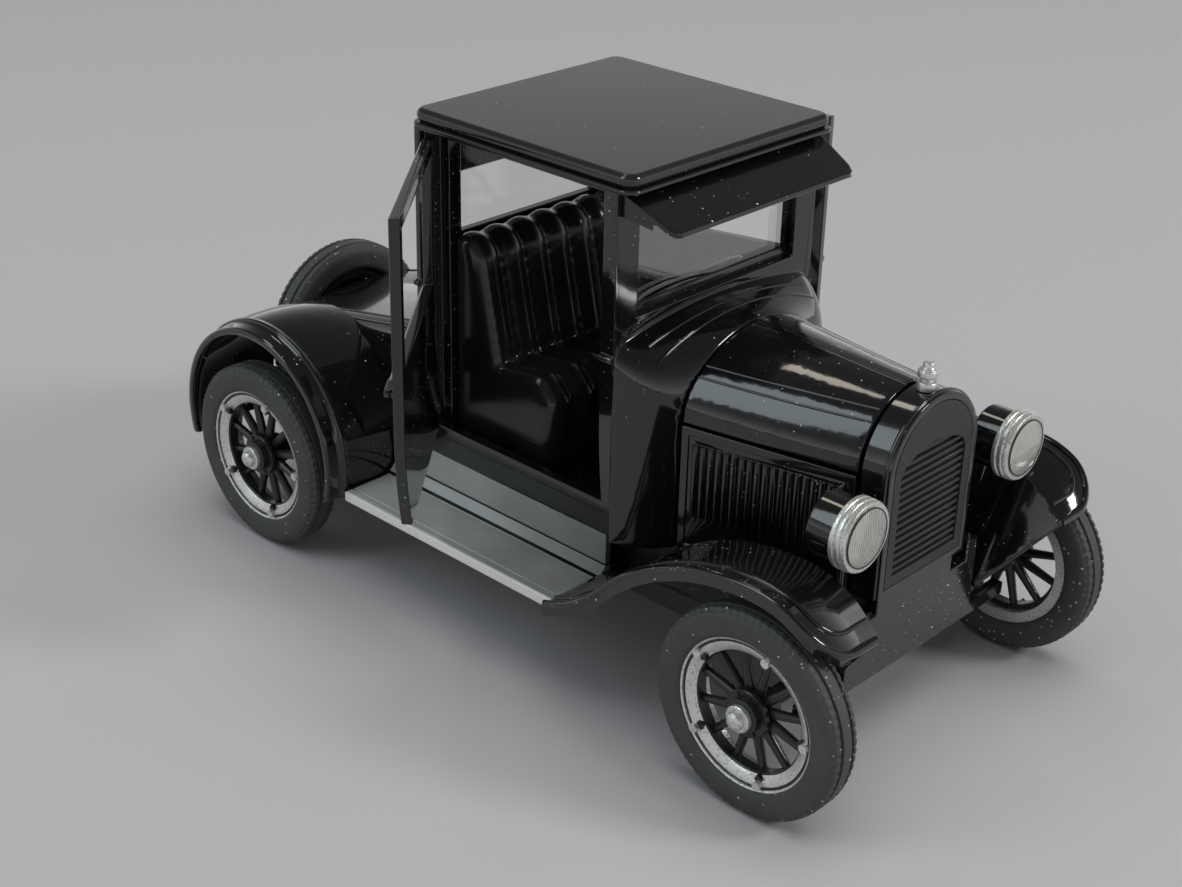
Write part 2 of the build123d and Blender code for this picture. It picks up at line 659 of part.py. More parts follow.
# The cap's profile as shares of its radius and height, from the neck up to the knob
with BuildPart() as radiator_cap:
    with BuildSketch(Plane.XZ):
        with BuildLine():
            Polyline(
                (0, 0),
                (FILLER_R, 0),
                (FILLER_R, 0.3 * FILLER_H),
                (FILLER_NECK_R, 0.36 * FILLER_H),
                (FILLER_R, 0.48 * FILLER_H),
                (FILLER_R, 0.7 * FILLER_H),
                (FILLER_NECK_R, 0.84 * FILLER_H),
                (FILLER_NECK_R, FILLER_H),
                (0, FILLER_H),
                close=True,
            )
        make_face()
    revolve(axis=Axis.Z)
pieces["radiator_cap"] = radiator_cap.part.moved(Location((RAD_FRONT - FILLER_SET, 0, RAD_CROWN)))

# Front apron under the radiator: two notches in its upper edge and a beam along its foot
with BuildPart() as front_apron:
    with BuildSketch(Plane.YZ.offset(BASE_FRONT)):
        with Locations((0, (BASE_BOTTOM + RAD_BOTTOM) / 2)):
            Rectangle(2 * RAIL_OUT, RAD_BOTTOM - BASE_BOTTOM)
        with Locations((0, BASE_BOTTOM + APRON_BEAM_H / 2)):
            Rectangle(2 * APRON_BEAM_HALF, APRON_BEAM_H)
        with Locations((0, RAD_BOTTOM - NOTCH_H / 2)):
            with GridLocations(2 * NOTCH_Y, 0, 2, 1):
                Rectangle(NOTCH_W, NOTCH_H, mode=Mode.SUBTRACT)
    extrude(amount=APRON_D)
pieces["front_apron"] = front_apron.part

# Rear deck: a solid tail that falls and narrows towards the back
with BuildPart() as rear_deck:
    with BuildSketch(Plane.YZ.offset(CAB_REAR)):
        make_face(arch(DECK_HALF, BODY_BOTTOM, DECK_TOP - DECK_RISE, DECK_TOP, DECK_SHOULDER))
    with BuildSketch(Plane.YZ.offset(DECK_REAR)):
        make_face(arch(DECK_TAIL_HALF, BODY_BOTTOM, DECK_TAIL_TOP - DECK_RISE, DECK_TAIL_TOP, DECK_SHOULDER))
    loft()
pieces["rear_deck"] = rear_deck.part

# Rear fender: a crowned band turned about the arch, with a rolled edge and a ridge, open below
fender_mid = (FENDER_IN + FENDER_OUT) / 2
fender_span = (FENDER_OUT - FENDER_IN) / 2
arch_edge = REAR_ARCH_Z + REAR_ARCH_R - FENDER_CROWN
arch_crown = REAR_ARCH_Z + REAR_ARCH_R
ridge_y = FENDER_OUT - FENDER_RIDGE_IN
ridge_z = arch_crown - FENDER_CROWN * ((ridge_y - fender_mid) / fender_span) ** 2
arch_axis = Axis((REAR_ARCH_X, 0, REAR_ARCH_Z), (0, 1, 0))
with BuildPart() as rear_fender:
    with BuildSketch(Plane.YZ.offset(REAR_ARCH_X)):
        with BuildLine():
            ThreePointArc((-FENDER_IN, arch_edge), (-fender_mid, arch_crown), (-FENDER_OUT, arch_edge))
            Line((-FENDER_OUT, arch_edge), (-FENDER_OUT, arch_edge - FENDER_T))
            ThreePointArc(
                (-FENDER_OUT, arch_edge - FENDER_T),
                (-fender_mid, arch_crown - FENDER_T),
                (-FENDER_IN, arch_edge - FENDER_T),
            )
            Line((-FENDER_IN, arch_edge - FENDER_T), (-FENDER_IN, arch_edge))
        make_face()
        with Locations((-FENDER_OUT + FENDER_BEAD_R, arch_edge - FENDER_T / 2)):
            Circle(FENDER_BEAD_R + SEAT_GAP)
        with Locations((-ridge_y, ridge_z)):
            Circle(FENDER_RIDGE_R)
    revolve(axis=arch_axis)
    with BuildSketch(Plane.XZ.offset(FENDER_IN - CUT_OVER)):
        with Locations((REAR_ARCH_X, BOARD_TOP - BOARD_T - REAR_ARCH_R)):
            Rectangle(3 * REAR_ARCH_R, 2 * REAR_ARCH_R)
    extrude(amount=FENDER_OUT - FENDER_IN + 2 * CUT_OVER, mode=Mode.SUBTRACT)
    add(rear_deck.part, mode=Mode.SUBTRACT)
keep_pair("rear_fender", rear_fender.part)


def sweep_band(line, top, bottom):
    """Closed band between two depths under one of the front fender's lines."""
    start_z, low_r, high_r, turn, nose_r, nose_turn = line
    ends = []
    with BuildLine() as outline:
        for depth in (top, bottom):
            low = JernArc((SWEEP_START_X, start_z - depth), (1, 0), low_r + depth, turn)
            high = JernArc(low @ 1, low % 1, high_r - depth, -turn)
            nose = JernArc(high @ 1, high % 1, nose_r - depth, -nose_turn)
            ends.append((low @ 0, nose @ 1))
        Line(ends[0][0], ends[1][0])
        Line(ends[0][1], ends[1][1])
    return outline.line


# Front fender: a long sweep from the running board over the wheel, with an inner valance
# Each line: start height, low radius, high radius, turn, nose radius, nose turn
sweep_low_r = SWEEP_LOW_SHARE * SWEEP_SUM_R
sweep_high_r = SWEEP_SUM_R - sweep_low_r
crown_line = (BOARD_TOP, sweep_low_r, sweep_high_r, SWEEP_TURN, NOSE_R, NOSE_TURN)
foot_line = (VALANCE_Z, VALANCE_LOW_R, VALANCE_HIGH_R, VALANCE_TURN, VALANCE_NOSE_R, VALANCE_NOSE_TURN)
with BuildPart() as front_fender:
    with BuildSketch(Plane.XZ.offset(FENDER_CROWN_IN)):
        make_face(sweep_band(crown_line, 0, FENDER_FLANGE))
    extrude(amount=FENDER_OUT - FENDER_CROWN_IN)
    with BuildSketch(Plane.XZ.offset(FENDER_CROWN_IN)):
        make_face(sweep_band(crown_line, FENDER_T, FENDER_FLANGE + CUT_OVER))
    extrude(amount=FENDER_OUT - FENDER_CROWN_IN - FENDER_T, mode=Mode.SUBTRACT)
    with BuildSketch(Plane.XZ.offset(FENDER_CROWN_IN)):
        make_face(sweep_band(crown_line, 0, FENDER_T))
    with BuildSketch(Plane.XZ.offset(FENDER_IN)):
        make_face(sweep_band(foot_line, 0, FENDER_T))
    loft()
    # Plan outline: cut off at the running board, with a round outer corner at the nose
    fender_box = front_fender.part.bounding_box()
    with BuildSketch(Plane.XY):
        with Locations(((BOARD_FRONT + fender_box.max.X) / 2, -fender_mid)):
            fender_plan = Rectangle(fender_box.max.X - BOARD_FRONT, 2 * fender_span)
        fillet(fender_plan.vertices().group_by(Axis.X)[-1].sort_by(Axis.Y)[0], radius=NOSE_CORNER)
    extrude(amount=fender_box.max.Z, mode=Mode.INTERSECT)
keep_pair("front_fender", front_fender.part)

# Running board with a grooved edge, an inner ramp and apron, and the bright strip along its edge
board_edge = BOARD_OUT - TRIM_T
groove_out = BOARD_OUT - BOARD_GROOVE_IN
with BuildPart() as running_board:
    with BuildSketch(Plane.YZ.offset(BOARD_REAR)):
        with BuildLine():
            Polyline(
                (-RAIL_OUT, BOARD_TOP - BOARD_T),
                (-board_edge, BOARD_TOP - BOARD_T),
                (-board_edge, BOARD_TOP),
                (-groove_out, BOARD_TOP),
                (-groove_out + BOARD_GROOVE / 2, BOARD_TOP - BOARD_GROOVE),
                (-groove_out + BOARD_GROOVE, BOARD_TOP),
                (-APRON_OUT - BOARD_RAMP, BOARD_TOP),
                (-APRON_OUT, BOARD_TOP + BOARD_RAMP),
                (-APRON_OUT, APRON_TOP),
                (-APRON_OUT + APRON_T, APRON_TOP),
                (-APRON_OUT + APRON_T, BOARD_TOP),
                (-RAIL_OUT, BOARD_TOP),
                close=True,
            )
        make_face()
    extrude(amount=BOARD_FRONT - BOARD_REAR)
keep_pair("running_board", running_board.part)

with BuildPart() as board_trim:
    with BuildSketch(Plane.YZ.offset(BOARD_REAR)):
        with Locations((-BOARD_OUT + TRIM_T / 2, BOARD_TOP - BOARD_T / 2)):
            Rectangle(TRIM_T, BOARD_T)
    extrude(amount=BOARD_FRONT - BOARD_REAR)
keep_pair("board_trim", board_trim.part)

# Head lamps: a drum on a post from the rail, a bright ring and a domed lens, all about the X axis
lamp_back = LAMP_FACE_X - BEZEL_L - LAMP_BODY_L
lamp_brow = lamp_back + LAMP_DOME
with BuildPart() as lamp_body:
    with BuildSketch(Plane.XZ):
        with BuildLine():
            Line((lamp_back, 0), (LAMP_FACE_X - BEZEL_L, 0))
            Line((LAMP_FACE_X - BEZEL_L, 0), (LAMP_FACE_X - BEZEL_L, LAMP_BODY_R))
            Line((LAMP_FACE_X - BEZEL_L, LAMP_BODY_R), (lamp_brow, LAMP_BODY_R))
            ThreePointArc((lamp_brow, LAMP_BODY_R), *dome(lamp_brow, LAMP_BODY_R, -LAMP_DOME))
        make_face()
    revolve(axis=Axis.X)
    with BuildSketch(Plane.XY.offset(BODY_BOTTOM + SEAT_GAP - LAMP_Z)):
        with Locations((POST_X, LAMP_Y - POST_Y)):
            Circle(POST_R)
    extrude(amount=LAMP_Z - BODY_BOTTOM - SEAT_GAP)
    with BuildSketch(Plane.XZ):
        with Locations((POST_X, 0)):
            Circle(POST_R)
    extrude(amount=POST_Y - LAMP_Y)
keep_pair("lamp_body", lamp_body.part.moved(Location((0, -LAMP_Y, LAMP_Z))))

# Ring profile: a wide band with two grooves round its outside
bezel_in = LAMP_BODY_R - BEZEL_W
bezel_back = LAMP_FACE_X - BEZEL_L
with BuildPart() as lamp_bezel:
    with BuildSketch(Plane.XZ):
        with BuildLine():
            Polyline(
                (bezel_back, bezel_in),
                (bezel_back, BEZEL_R),
                (bezel_back + 0.25 * BEZEL_L, BEZEL_R),
                (bezel_back + 0.32 * BEZEL_L, BEZEL_R - BEZEL_GROOVE),
                (bezel_back + 0.4 * BEZEL_L, BEZEL_R),
                (bezel_back + 0.62 * BEZEL_L, BEZEL_R),
                (bezel_back + 0.7 * BEZEL_L, BEZEL_R - BEZEL_GROOVE),
                (bezel_back + 0.78 * BEZEL_L, BEZEL_R),
                (LAMP_FACE_X, BEZEL_R - BEZEL_GROOVE),
                (LAMP_FACE_X, bezel_in),
                close=True,
            )
        make_face()
    revolve(axis=Axis.X)
keep_pair("lamp_bezel", lamp_bezel.part.moved(Location((0, -LAMP_Y, LAMP_Z))))

with BuildPart() as lamp_lens:
    lens_r = bezel_in - SEAT_GAP
    with BuildSketch(Plane.XZ):
        with BuildLine():
            Line((bezel_back, 0), (bezel_back, lens_r))
            lens_edge = LAMP_FACE_X - LENS_SET
            Line((bezel_back, lens_r), (lens_edge, lens_r))
            ThreePointArc((lens_edge, lens_r), *dome(lens_edge, lens_r, LENS_RISE))
            Line((lens_edge + LENS_RISE, 0), (bezel_back, 0))
        make_face()
    revolve(axis=Axis.X)
keep_pair("lamp_lens", lamp_lens.part.moved(Location((0, -LAMP_Y, LAMP_Z))))

# Seat: one bench of rounded pleats, back and cushion together
pleat_pitch = 2 * SEAT_HALF / PLEAT_COUNT
with BuildPart() as pleat:
    with BuildSketch(Plane.XZ):
        with BuildLine():
            seat_floor = inner_floor + SEAT_GAP
            back_front = SEAT_REAR + SEAT_BACK_T
            Polyline(
                (SEAT_REAR, seat_floor),
                (SEAT_KNEE - SEAT_TUCK, seat_floor),
                (SEAT_KNEE, CUSHION_TOP - CUSHION_ROUND),
                (SEAT_KNEE - CUSHION_ROUND, CUSHION_TOP),
                (back_front + SEAT_RAKE, CUSHION_TOP - CUSHION_DIP),
                (back_front, SEAT_TOP - SEAT_TUCK),
                (back_front - SEAT_TUCK, SEAT_TOP),
                (SEAT_REAR, SEAT_TOP),
                close=True,
            )
        make_face()
    extrude(amount=pleat_pitch / 2, both=True)
    side_faces = pleat.faces().filter_by(Axis.Y)
    round_from = SEAT_REAR + SEAT_BACK_T / 2
    fillet(side_faces.edges().filter_by(lambda e: e.center().X > round_from), radius=PLEAT_ROUND)
with BuildPart() as seat:
    with GridLocations(0, pleat_pitch, 1, PLEAT_COUNT):
        add(pleat.part)
pieces["seat"] = seat.part

# Steering wheel on its column, left-hand drive
with BuildPart() as steering_wheel:
    with BuildSketch(Plane.XZ):
        with Locations((STEER_R, 0)):
            RegularPolygon(STEER_RIM_R, STEER_RIM_SIDES)
    revolve(axis=Axis.Z)
    with PolarLocations(0, 4):
        with Locations(Location((STEER_R / 2, 0, 0), (0, 90, 0))):
            Cylinder(STEER_SPOKE_R, STEER_R)
    Cylinder(STEER_HUB_R, STEER_HUB_R)
    # The column runs down to the inside of the cowl's front wall
    tilt = radians(COLUMN_TILT)
    firewall = cowl_front - WALL - SEAT_GAP
    column_l = (firewall - STEER_X - COLUMN_R * cos(tilt)) / sin(tilt)
    with Locations((0, 0, -column_l / 2)):
        Cylinder(COLUMN_R, column_l)
steer_place = Location((STEER_X, WHEEL_Y, STEER_Z), (0, -COLUMN_TILT, 0))
pieces["steering_wheel"] = steering_wheel.part.moved(steer_place)

# Doors: built shut about the hinge line, with the window cut, then swung open
door_top = OPENING_TOP - DOOR_GAP
door_front = OPENING_FRONT - DOOR_GAP
with BuildPart() as door:
    with BuildSketch(Plane.YZ.offset(HINGE_X)):
        make_face(cab_section(0, BODY_BOTTOM, CAB_TOP))
    extrude(amount=door_front - HINGE_X)
    with BuildSketch(Plane.YZ.offset(HINGE_X)):
        make_face(cab_section(DOOR_T, BODY_BOTTOM, CAB_TOP))
    extrude(amount=door_front - HINGE_X, mode=Mode.SUBTRACT)
    with BuildSketch(Plane.XZ):
        with Locations(((HINGE_X + door_front) / 2, (DOOR_BOTTOM + door_top) / 2)):
            Rectangle(door_front - HINGE_X, door_top - DOOR_BOTTOM)
    extrude(amount=CAB_HALF + CUT_OVER, mode=Mode.INTERSECT)
    with BuildSketch(Plane.XZ):
        window_bottom = BELT_Z + WINDOW_SILL
        window_top = door_top - DOOR_FRAME
        window_rear = HINGE_X + HINGE_CLEAR_R + DOOR_FRAME
        window_front = door_front - DOOR_FRAME
        with Locations(((window_rear + window_front) / 2, (window_bottom + window_top) / 2)):
            Rectangle(window_front - window_rear, window_top - window_bottom)
    extrude(amount=CAB_HALF + CUT_OVER, mode=Mode.SUBTRACT)
    with BuildSketch(Plane.XY):
        with Locations((HINGE_X, -HINGE_Y)):
            Circle(HINGE_CLEAR_R)
    extrude(amount=CAB_TOP, mode=Mode.SUBTRACT)
    with BuildSketch(Plane.YZ.offset(HINGE_X + HINGE_CLEAR_R)):
        with Locations((-CAB_HALF, BELT_Z)):
            Circle(BEAD_R)
    extrude(amount=door_front - HINGE_X - HINGE_CLEAR_R)
    for z in HINGE_Z:
        with BuildSketch(Plane.XY.offset(z - KNUCKLE_L / 2)):
            with Locations((HINGE_X, -HINGE_Y)):
                Circle(HINGE_R)
            with Locations((HINGE_X + HINGE_R, -HINGE_Y + HINGE_R / 2)):
                Rectangle(2 * HINGE_R, HINGE_R)
        extrude(amount=KNUCKLE_L)
        with BuildSketch(Plane.XY.offset(z - KNUCKLE_L / 2 - EAR_L)):
            with Locations((HINGE_X, -HINGE_Y)):
                Circle(HINGE_PIN_R)
        extrude(amount=KNUCKLE_L + 2 * EAR_L)
with BuildPart() as door_handle:
    with BuildSketch(Plane.XZ.offset(CAB_HALF)):
        with Locations((door_front - HANDLE_SET, HANDLE_Z)):
            Circle(HANDLE_STEM_R)
    extrude(amount=HANDLE_T)
    with BuildSketch(Plane.XZ.offset(CAB_HALF + HANDLE_T)):
        with Locations((door_front - HANDLE_SET - HANDLE_L / 3, HANDLE_Z)):
            SlotOverall(HANDLE_L, HANDLE_H)
    extrude(amount=HANDLE_T)


def swing(angle):
    """Turn a shut right-hand door piece outwards about its hinge line."""
    hinge = Location((HINGE_X, -HINGE_Y, 0))
    return hinge * Location((0, 0, 0), (0, 0, -angle)) * hinge.inverse()


for node, shut in (("door", door.part), ("door_handle", door_handle.part)):
    pieces[node + "_right"] = shut.moved(swing(RIGHT_DOOR_OPEN))
    with BuildPart() as left_hand:
        mirror(shut.moved(swing(LEFT_DOOR_OPEN)), about=Plane.XZ)
    pieces[node + "_left"] = left_hand.part

# Wheels about the Y axis with the outer face towards -Y
with BuildPart() as tyre:
    with BuildSketch(Plane.YZ):
        with BuildLine():
            side = [
                (TYRE_BEAD_W / 2, RIM_R),
                (TYRE_W / 2, (RIM_R + TYRE_R) / 2),
                (SHOULDER_W / 2, TYRE_R - SHOULDER_DROP),
                (TREAD_W / 2, TYRE_R),
            ]
            Polyline(*side, *[(-y, r) for y, r in reversed(side)], close=True)
        make_face()
    revolve(axis=Axis.Y)
rim_out = RIM_R - PRESS_GAP
rim_in = rim_out - RIM_BAND
with BuildPart() as rim:
    with BuildSketch(Plane.YZ):
        with BuildLine():
            side = [
                (RIM_W / 2, rim_out),
                (RIM_W / 2, rim_out - RIM_LIP),
                (RIM_W / 2 - RIM_STEP, rim_out - RIM_LIP),
                (RIM_W / 2 - RIM_STEP, rim_in),
            ]
            Polyline(*side, *[(-y, r) for y, r in reversed(side)], close=True)
        make_face()
    revolve(axis=Axis.Y)
felloe_r = rim_in - PRESS_GAP
with BuildPart() as wheel:
    with BuildSketch(Plane.YZ):
        with Locations((0, felloe_r - FELLOE_BAND / 2)):
            Rectangle(FELLOE_W, FELLOE_BAND)
        with Locations((0, HUB_R / 2)):
            Rectangle(HUB_L, HUB_R)
        with Locations((-FELLOE_W / 2, FLANGE_R / 2)):
            Rectangle(FLANGE_T, FLANGE_R)
    revolve(axis=Axis.Y)
    spoke_root = HUB_R - SPOKE_BITE
    spoke_len = felloe_r - FELLOE_BAND / 2 - spoke_root
    with Locations(Location((0, 0, 0), (90, 0, 0))):
        with PolarLocations(spoke_root + spoke_len / 2, SPOKE_COUNT):
            with Locations(Location((0, 0, 0), (0, 90, 0))):
                Cone(SPOKE_ROOT_R, SPOKE_TIP_R, spoke_len)
    with BuildSketch(Plane.XZ.offset(-HUB_L / 2)):
        Circle(AXLE_R + PRESS_GAP)
    extrude(amount=AXLE_GRIP, mode=Mode.SUBTRACT)
with BuildPart() as hub_cap:
    with BuildSketch(Plane.YZ):
        with BuildLine():
            face = -HUB_L / 2
            brow = (face - CAP_L + CAP_DOME, CAP_R - CAP_TAPER)
            Polyline(
                (face, 0),
                (face, CAP_COLLAR_R),
                (face - CAP_COLLAR_L, CAP_COLLAR_R),
                (face - CAP_COLLAR_L, CAP_R),
                brow,
            )
            ThreePointArc(brow, *dome(brow[0], brow[1], -CAP_DOME))
            Line((face - CAP_L, 0), (face, 0))
        make_face()
    revolve(axis=Axis.Y)
with BuildPart() as axle:
    with BuildSketch(Plane.XZ):
        Circle(AXLE_R)
    extrude(amount=TRACK / 2 - HUB_L / 2 + AXLE_GRIP, both=True)

for axle_name, axle_x in (("front", WHEELBASE), ("rear", 0)):
    pieces[axle_name + "_axle"] = axle.part.moved(Location((axle_x, 0, TYRE_R)))
    for node, piece in (("wheel", wheel), ("rim", rim), ("tyre", tyre), ("hub_cap", hub_cap)):
        keep_pair(f"{axle_name}_{node}", piece.part.moved(Location((axle_x, -TRACK / 2, TYRE_R))))

# Spare wheel upright behind the deck, on a dished carrier
spare_place = Location((SPARE_X, 0, SPARE_Z), (0, 0, 90))
pieces["spare_tyre"] = tyre.part.moved(spare_place)
pieces["spare_rim"] = rim.part.moved(spare_place)
with BuildPart() as spare_carrier:
    with BuildSketch(Plane.YZ.offset(SPARE_X - RIM_W / 2)):
        Circle(felloe_r)
    extrude(amount=CARRIER_T)
    with BuildSketch(Plane.YZ.offset(SPARE_X - RIM_W / 2)):
        Circle(CARRIER_POST_R)
    extrude(amount=DECK_REAR - SPARE_X + RIM_W / 2)
pieces["spare_carrier"] = spare_carrier.part.moved(Location((0, 0, SPARE_Z)))

# Put the origin at the bottom centre of the whole car and write one file for each piece
os.makedirs("parts", exist_ok=True)
whole = Compound(children=[Compound([piece]) for piece in pieces.values()]).bounding_box()
middle = whole.center()
origin = Location((-middle.X, -middle.Y, -whole.min.Z))
for node, piece in pieces.items():
    placed = piece.moved(origin)
    placed.label = node
    export_step(placed, f"parts/{node}.step")
print("origin shift", [round(v, 3) for v in origin.position])
print("size", [round(v, 2) for v in whole.size], "nodes", len(pieces))
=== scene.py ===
"""Dress of the die-cast toy coupe: paint, trim, tyres, lamps, glass, seat, stage and camera.
"""
import json
from functools import cached_property
from math import cos, exp, pi, radians, sin

import bmesh
import bpy
from bpy.props import FloatProperty, FloatVectorProperty, IntProperty, PointerProperty
from mathutils import Matrix, Vector
from mathutils.bvhtree import BVHTree

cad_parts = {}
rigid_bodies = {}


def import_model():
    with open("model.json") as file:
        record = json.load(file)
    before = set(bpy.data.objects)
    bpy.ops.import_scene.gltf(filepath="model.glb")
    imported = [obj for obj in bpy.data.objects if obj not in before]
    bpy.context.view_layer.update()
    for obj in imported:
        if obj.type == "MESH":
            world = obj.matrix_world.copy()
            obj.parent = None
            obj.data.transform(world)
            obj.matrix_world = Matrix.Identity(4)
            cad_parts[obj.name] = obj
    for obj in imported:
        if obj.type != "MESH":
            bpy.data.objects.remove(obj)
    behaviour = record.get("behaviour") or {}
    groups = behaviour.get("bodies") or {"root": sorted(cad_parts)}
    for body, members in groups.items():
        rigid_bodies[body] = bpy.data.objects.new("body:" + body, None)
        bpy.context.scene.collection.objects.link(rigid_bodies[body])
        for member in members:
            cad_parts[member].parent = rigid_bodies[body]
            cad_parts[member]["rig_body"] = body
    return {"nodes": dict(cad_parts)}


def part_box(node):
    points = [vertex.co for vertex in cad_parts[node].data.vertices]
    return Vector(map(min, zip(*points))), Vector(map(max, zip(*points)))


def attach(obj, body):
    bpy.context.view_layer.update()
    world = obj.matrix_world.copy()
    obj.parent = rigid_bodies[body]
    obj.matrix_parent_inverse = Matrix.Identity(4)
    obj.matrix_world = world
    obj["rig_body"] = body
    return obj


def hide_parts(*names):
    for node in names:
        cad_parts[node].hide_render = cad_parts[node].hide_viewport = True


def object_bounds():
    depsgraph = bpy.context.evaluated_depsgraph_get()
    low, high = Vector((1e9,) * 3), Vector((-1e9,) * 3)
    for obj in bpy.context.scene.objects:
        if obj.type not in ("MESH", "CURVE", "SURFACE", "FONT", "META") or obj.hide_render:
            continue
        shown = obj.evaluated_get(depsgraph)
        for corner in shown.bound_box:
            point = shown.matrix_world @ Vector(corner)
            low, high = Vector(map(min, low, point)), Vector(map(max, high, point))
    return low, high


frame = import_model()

bl_info = {
    "name": "Die-cast coupe dress",
    "version": (1, 0, 0),
    "blender": (4, 5, 0),
    "location": "View3D > Sidebar > Coupe",
    "description": "Dresses the packed die-cast coupe with paint, trim, tyres, lamps, glass and a stage",
    "category": "Object",
}

MM = 0.001
HAIR = 0.1 * MM  # least step between two faces, or in from a piece's edge
WELD = 0.002 * MM  # corners nearer to each other than this are one
GRAIN_RISE = 0.08 * MM  # height of a finish's fine grain
# Degrees past which an edge is shaded sharp: on panels, turned pieces, beads and tyres, and never
CREASE, TURNED_CREASE, BEAD_CREASE, NO_CREASE = 38, 35, 40, 180
FLAT_ANGLE = radians(0.4)  # faces that differ by less are one flat face
BEVEL_ANGLE = radians(32)  # edges past this are rounded
BEVEL_STEPS = 2
CAD_BOX = [list(corner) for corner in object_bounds()]
SIDES = (("right", -1), ("left", 1))
AXLES = ("front", "rear")


def middle(node):
    """Centre of a CAD node's box."""
    low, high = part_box(node)
    return (low + high) / 2


def size(node):
    """Length, width and height of a CAD node's box."""
    low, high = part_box(node)
    return high - low


REAR_AXLE = middle("rear_axle")
TYRE_R = size("rear_tyre_right").z / 2
TYRE_W = size("rear_tyre_right").y
RIM_R = size("rear_rim_right").z / 2
BOARD_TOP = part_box("board_trim_right")[1].z + HAIR


def car(x, y, z):
    """A point in millimetres forward of the rear axle, to the left and up from the floor."""
    return Vector((REAR_AXLE.x + x * MM, REAR_AXLE.y + y * MM, z * MM))


# Sizes and colours that a user may change
def length(name, description, millimetres):
    """A size property in metres, given in millimetres."""
    return FloatProperty(
        name=name, description=description, default=millimetres * MM, min=0, precision=5, unit="LENGTH"
    )


def count(name, description, default):
    """A property for a number of like pieces."""
    return IntProperty(name=name, description=description, default=default, min=3)


def level(name, description, default):
    """A property for a strength of light."""
    return FloatProperty(name=name, description=description, default=default, min=0)


def colour(name, description, default):
    """A linear colour property."""
    return FloatVectorProperty(
        name=name, description=description, default=default, min=0, max=1, size=3, subtype="COLOR"
    )


class CoupeColours(bpy.types.PropertyGroup):
    """Paints and plastics of the toy"""

    gloss: colour("Gloss black", "Body paint", (0.005, 0.005, 0.006))
    satin: colour("Satin black", "Base casting and inner panels", (0.010, 0.010, 0.011))
    board: colour("Board grey", "Thin silvery film on the running boards", (0.50, 0.53, 0.52))
    grille: colour("Grille grey", "Radiator core plate", (0.016, 0.016, 0.016))
    silver: colour("Silver paint", "Rims, lamp rings, filler cap and board edges", (0.86, 0.87, 0.84))
    rubber: colour("Tyre rubber", "Tyres", (0.034, 0.036, 0.035))
    seat: colour("Seat black", "Moulded bench", (0.008, 0.008, 0.009))
    glass: colour("Glass", "Windows and lamp lenses", (0.97, 0.98, 0.975))
    # Roof colour: partly real rubbed paint, partly painted reflection. It is lighter and greener than the
    # body black to stand for the backdrop's sheen
    roof: colour("Roof black", "Rubbed paint of the roof", (0.012, 0.0135, 0.011))
    lens: colour("Lens silver", "Ribbed lamp lenses", (0.95, 0.95, 0.88))
    dust: colour("Dust", "Flecks on the paint", (0.62, 0.63, 0.60))


class CoupeSizes(bpy.types.PropertyGroup):
    """Small forms that the dress adds"""

    lug_count: count("Rim lugs", "Lugs on each rim face", 5)
    bolt_count: count("Hub bolts", "Bolts on each hub flange", 6)
    spoke_count: count("Spokes", "Spokes of each wheel", 12)
    notch_count: count("Tread notches", "Notches round each tyre", 72)
    spoke_root: length("Spoke root", "Radius of a spoke at the hub", 0.62)
    spoke_tip: length("Spoke tip", "Radius of a spoke at the felloe", 0.45)
    lug_r: length("Lug radius", "Radius of a rim lug's nut", 0.52)
    lug_h: length("Lug height", "Height of a rim lug's nut", 0.9)
    # Painted shadow: the dark clip beside each lug stands for the lug's shadow
    lug_shadow_r: length("Clip radius", "Half diagonal of the dark clip beside a lug", 0.50)
    bolt_r: length("Bolt radius", "Radius of a hub bolt's head", 0.26)
    bolt_h: length("Bolt height", "Height of a hub bolt's head", 0.25)
    groove: length("Tread groove", "Depth of the tyre's grooves", 0.3)
    notch: length("Tread notch", "Depth of the tyre's notches", 0.12)
    lens_lap: length("Lens lap", "How far a lens laps over its ring", 0.5)
    lens_line: length("Lens line", "Width of the dark line round a lens", 0.14)
    lens_rise: length("Lens rise", "How far a lens bulges from its ring", 0.4)
    rib_pitch: length("Lens rib", "Pitch of the ribs on a lamp lens", 0.3)
    rib_depth: length("Lens rib depth", "Depth of the ribs on a lamp lens", 0.06)
    edge_bead: length("Edge bead", "Radius of the rolled edge of a front fender", 0.42)
    ridge_bead: length("Ridge bead", "Radius of the ridge inside the rolled edge", 0.26)
    ridge_in: length("Ridge inset", "From the rolled edge to the ridge", 2.0)
    nose_corner: length("Nose corner", "Plan radius of a front fender's outer corner", 5.0)
    nose_run: length("Nose run", "Length of a front fender's drooping nose", 9.0)
    nose_drop: length("Nose drop", "How far the nose's tip droops", 1.5)
    relief: length("Axle relief", "How far a front fender's foot rises over the axle", 0.42)
    relief_run: length("Relief run", "Half length of that rise along the car", 3.0)
    relief_in: length("Relief reach", "Width of that rise out from the fender's foot", 2.4)
    line_bead: length("Line bead", "Radius of the fine lines on hood and deck", 0.16)
    # Painted shade: the lines at the ramp's foot and head are left dark, without film, to stand for the
    # shade in the creases
    board_ramp: length("Board ramp", "Height of the ramp inside the running board", 1.3)
    board_line: length("Board line", "Height of the bare line at the ramp's foot and head", 0.3)
    pleat_count: count("Pleats", "Pleats of the bench", 7)
    pleat_crown: length("Pleat crown", "How far a pleat bulges", 0.9)
    seat_grain: length("Seat grain", "Voxel at which the bench is rounded", 0.35)
    frame_bar: length("Screen frame", "Width of the frame round the windscreen glass", 0.7)
    frame_depth: length("Frame depth", "How far that frame stands out from the glass", 0.5)


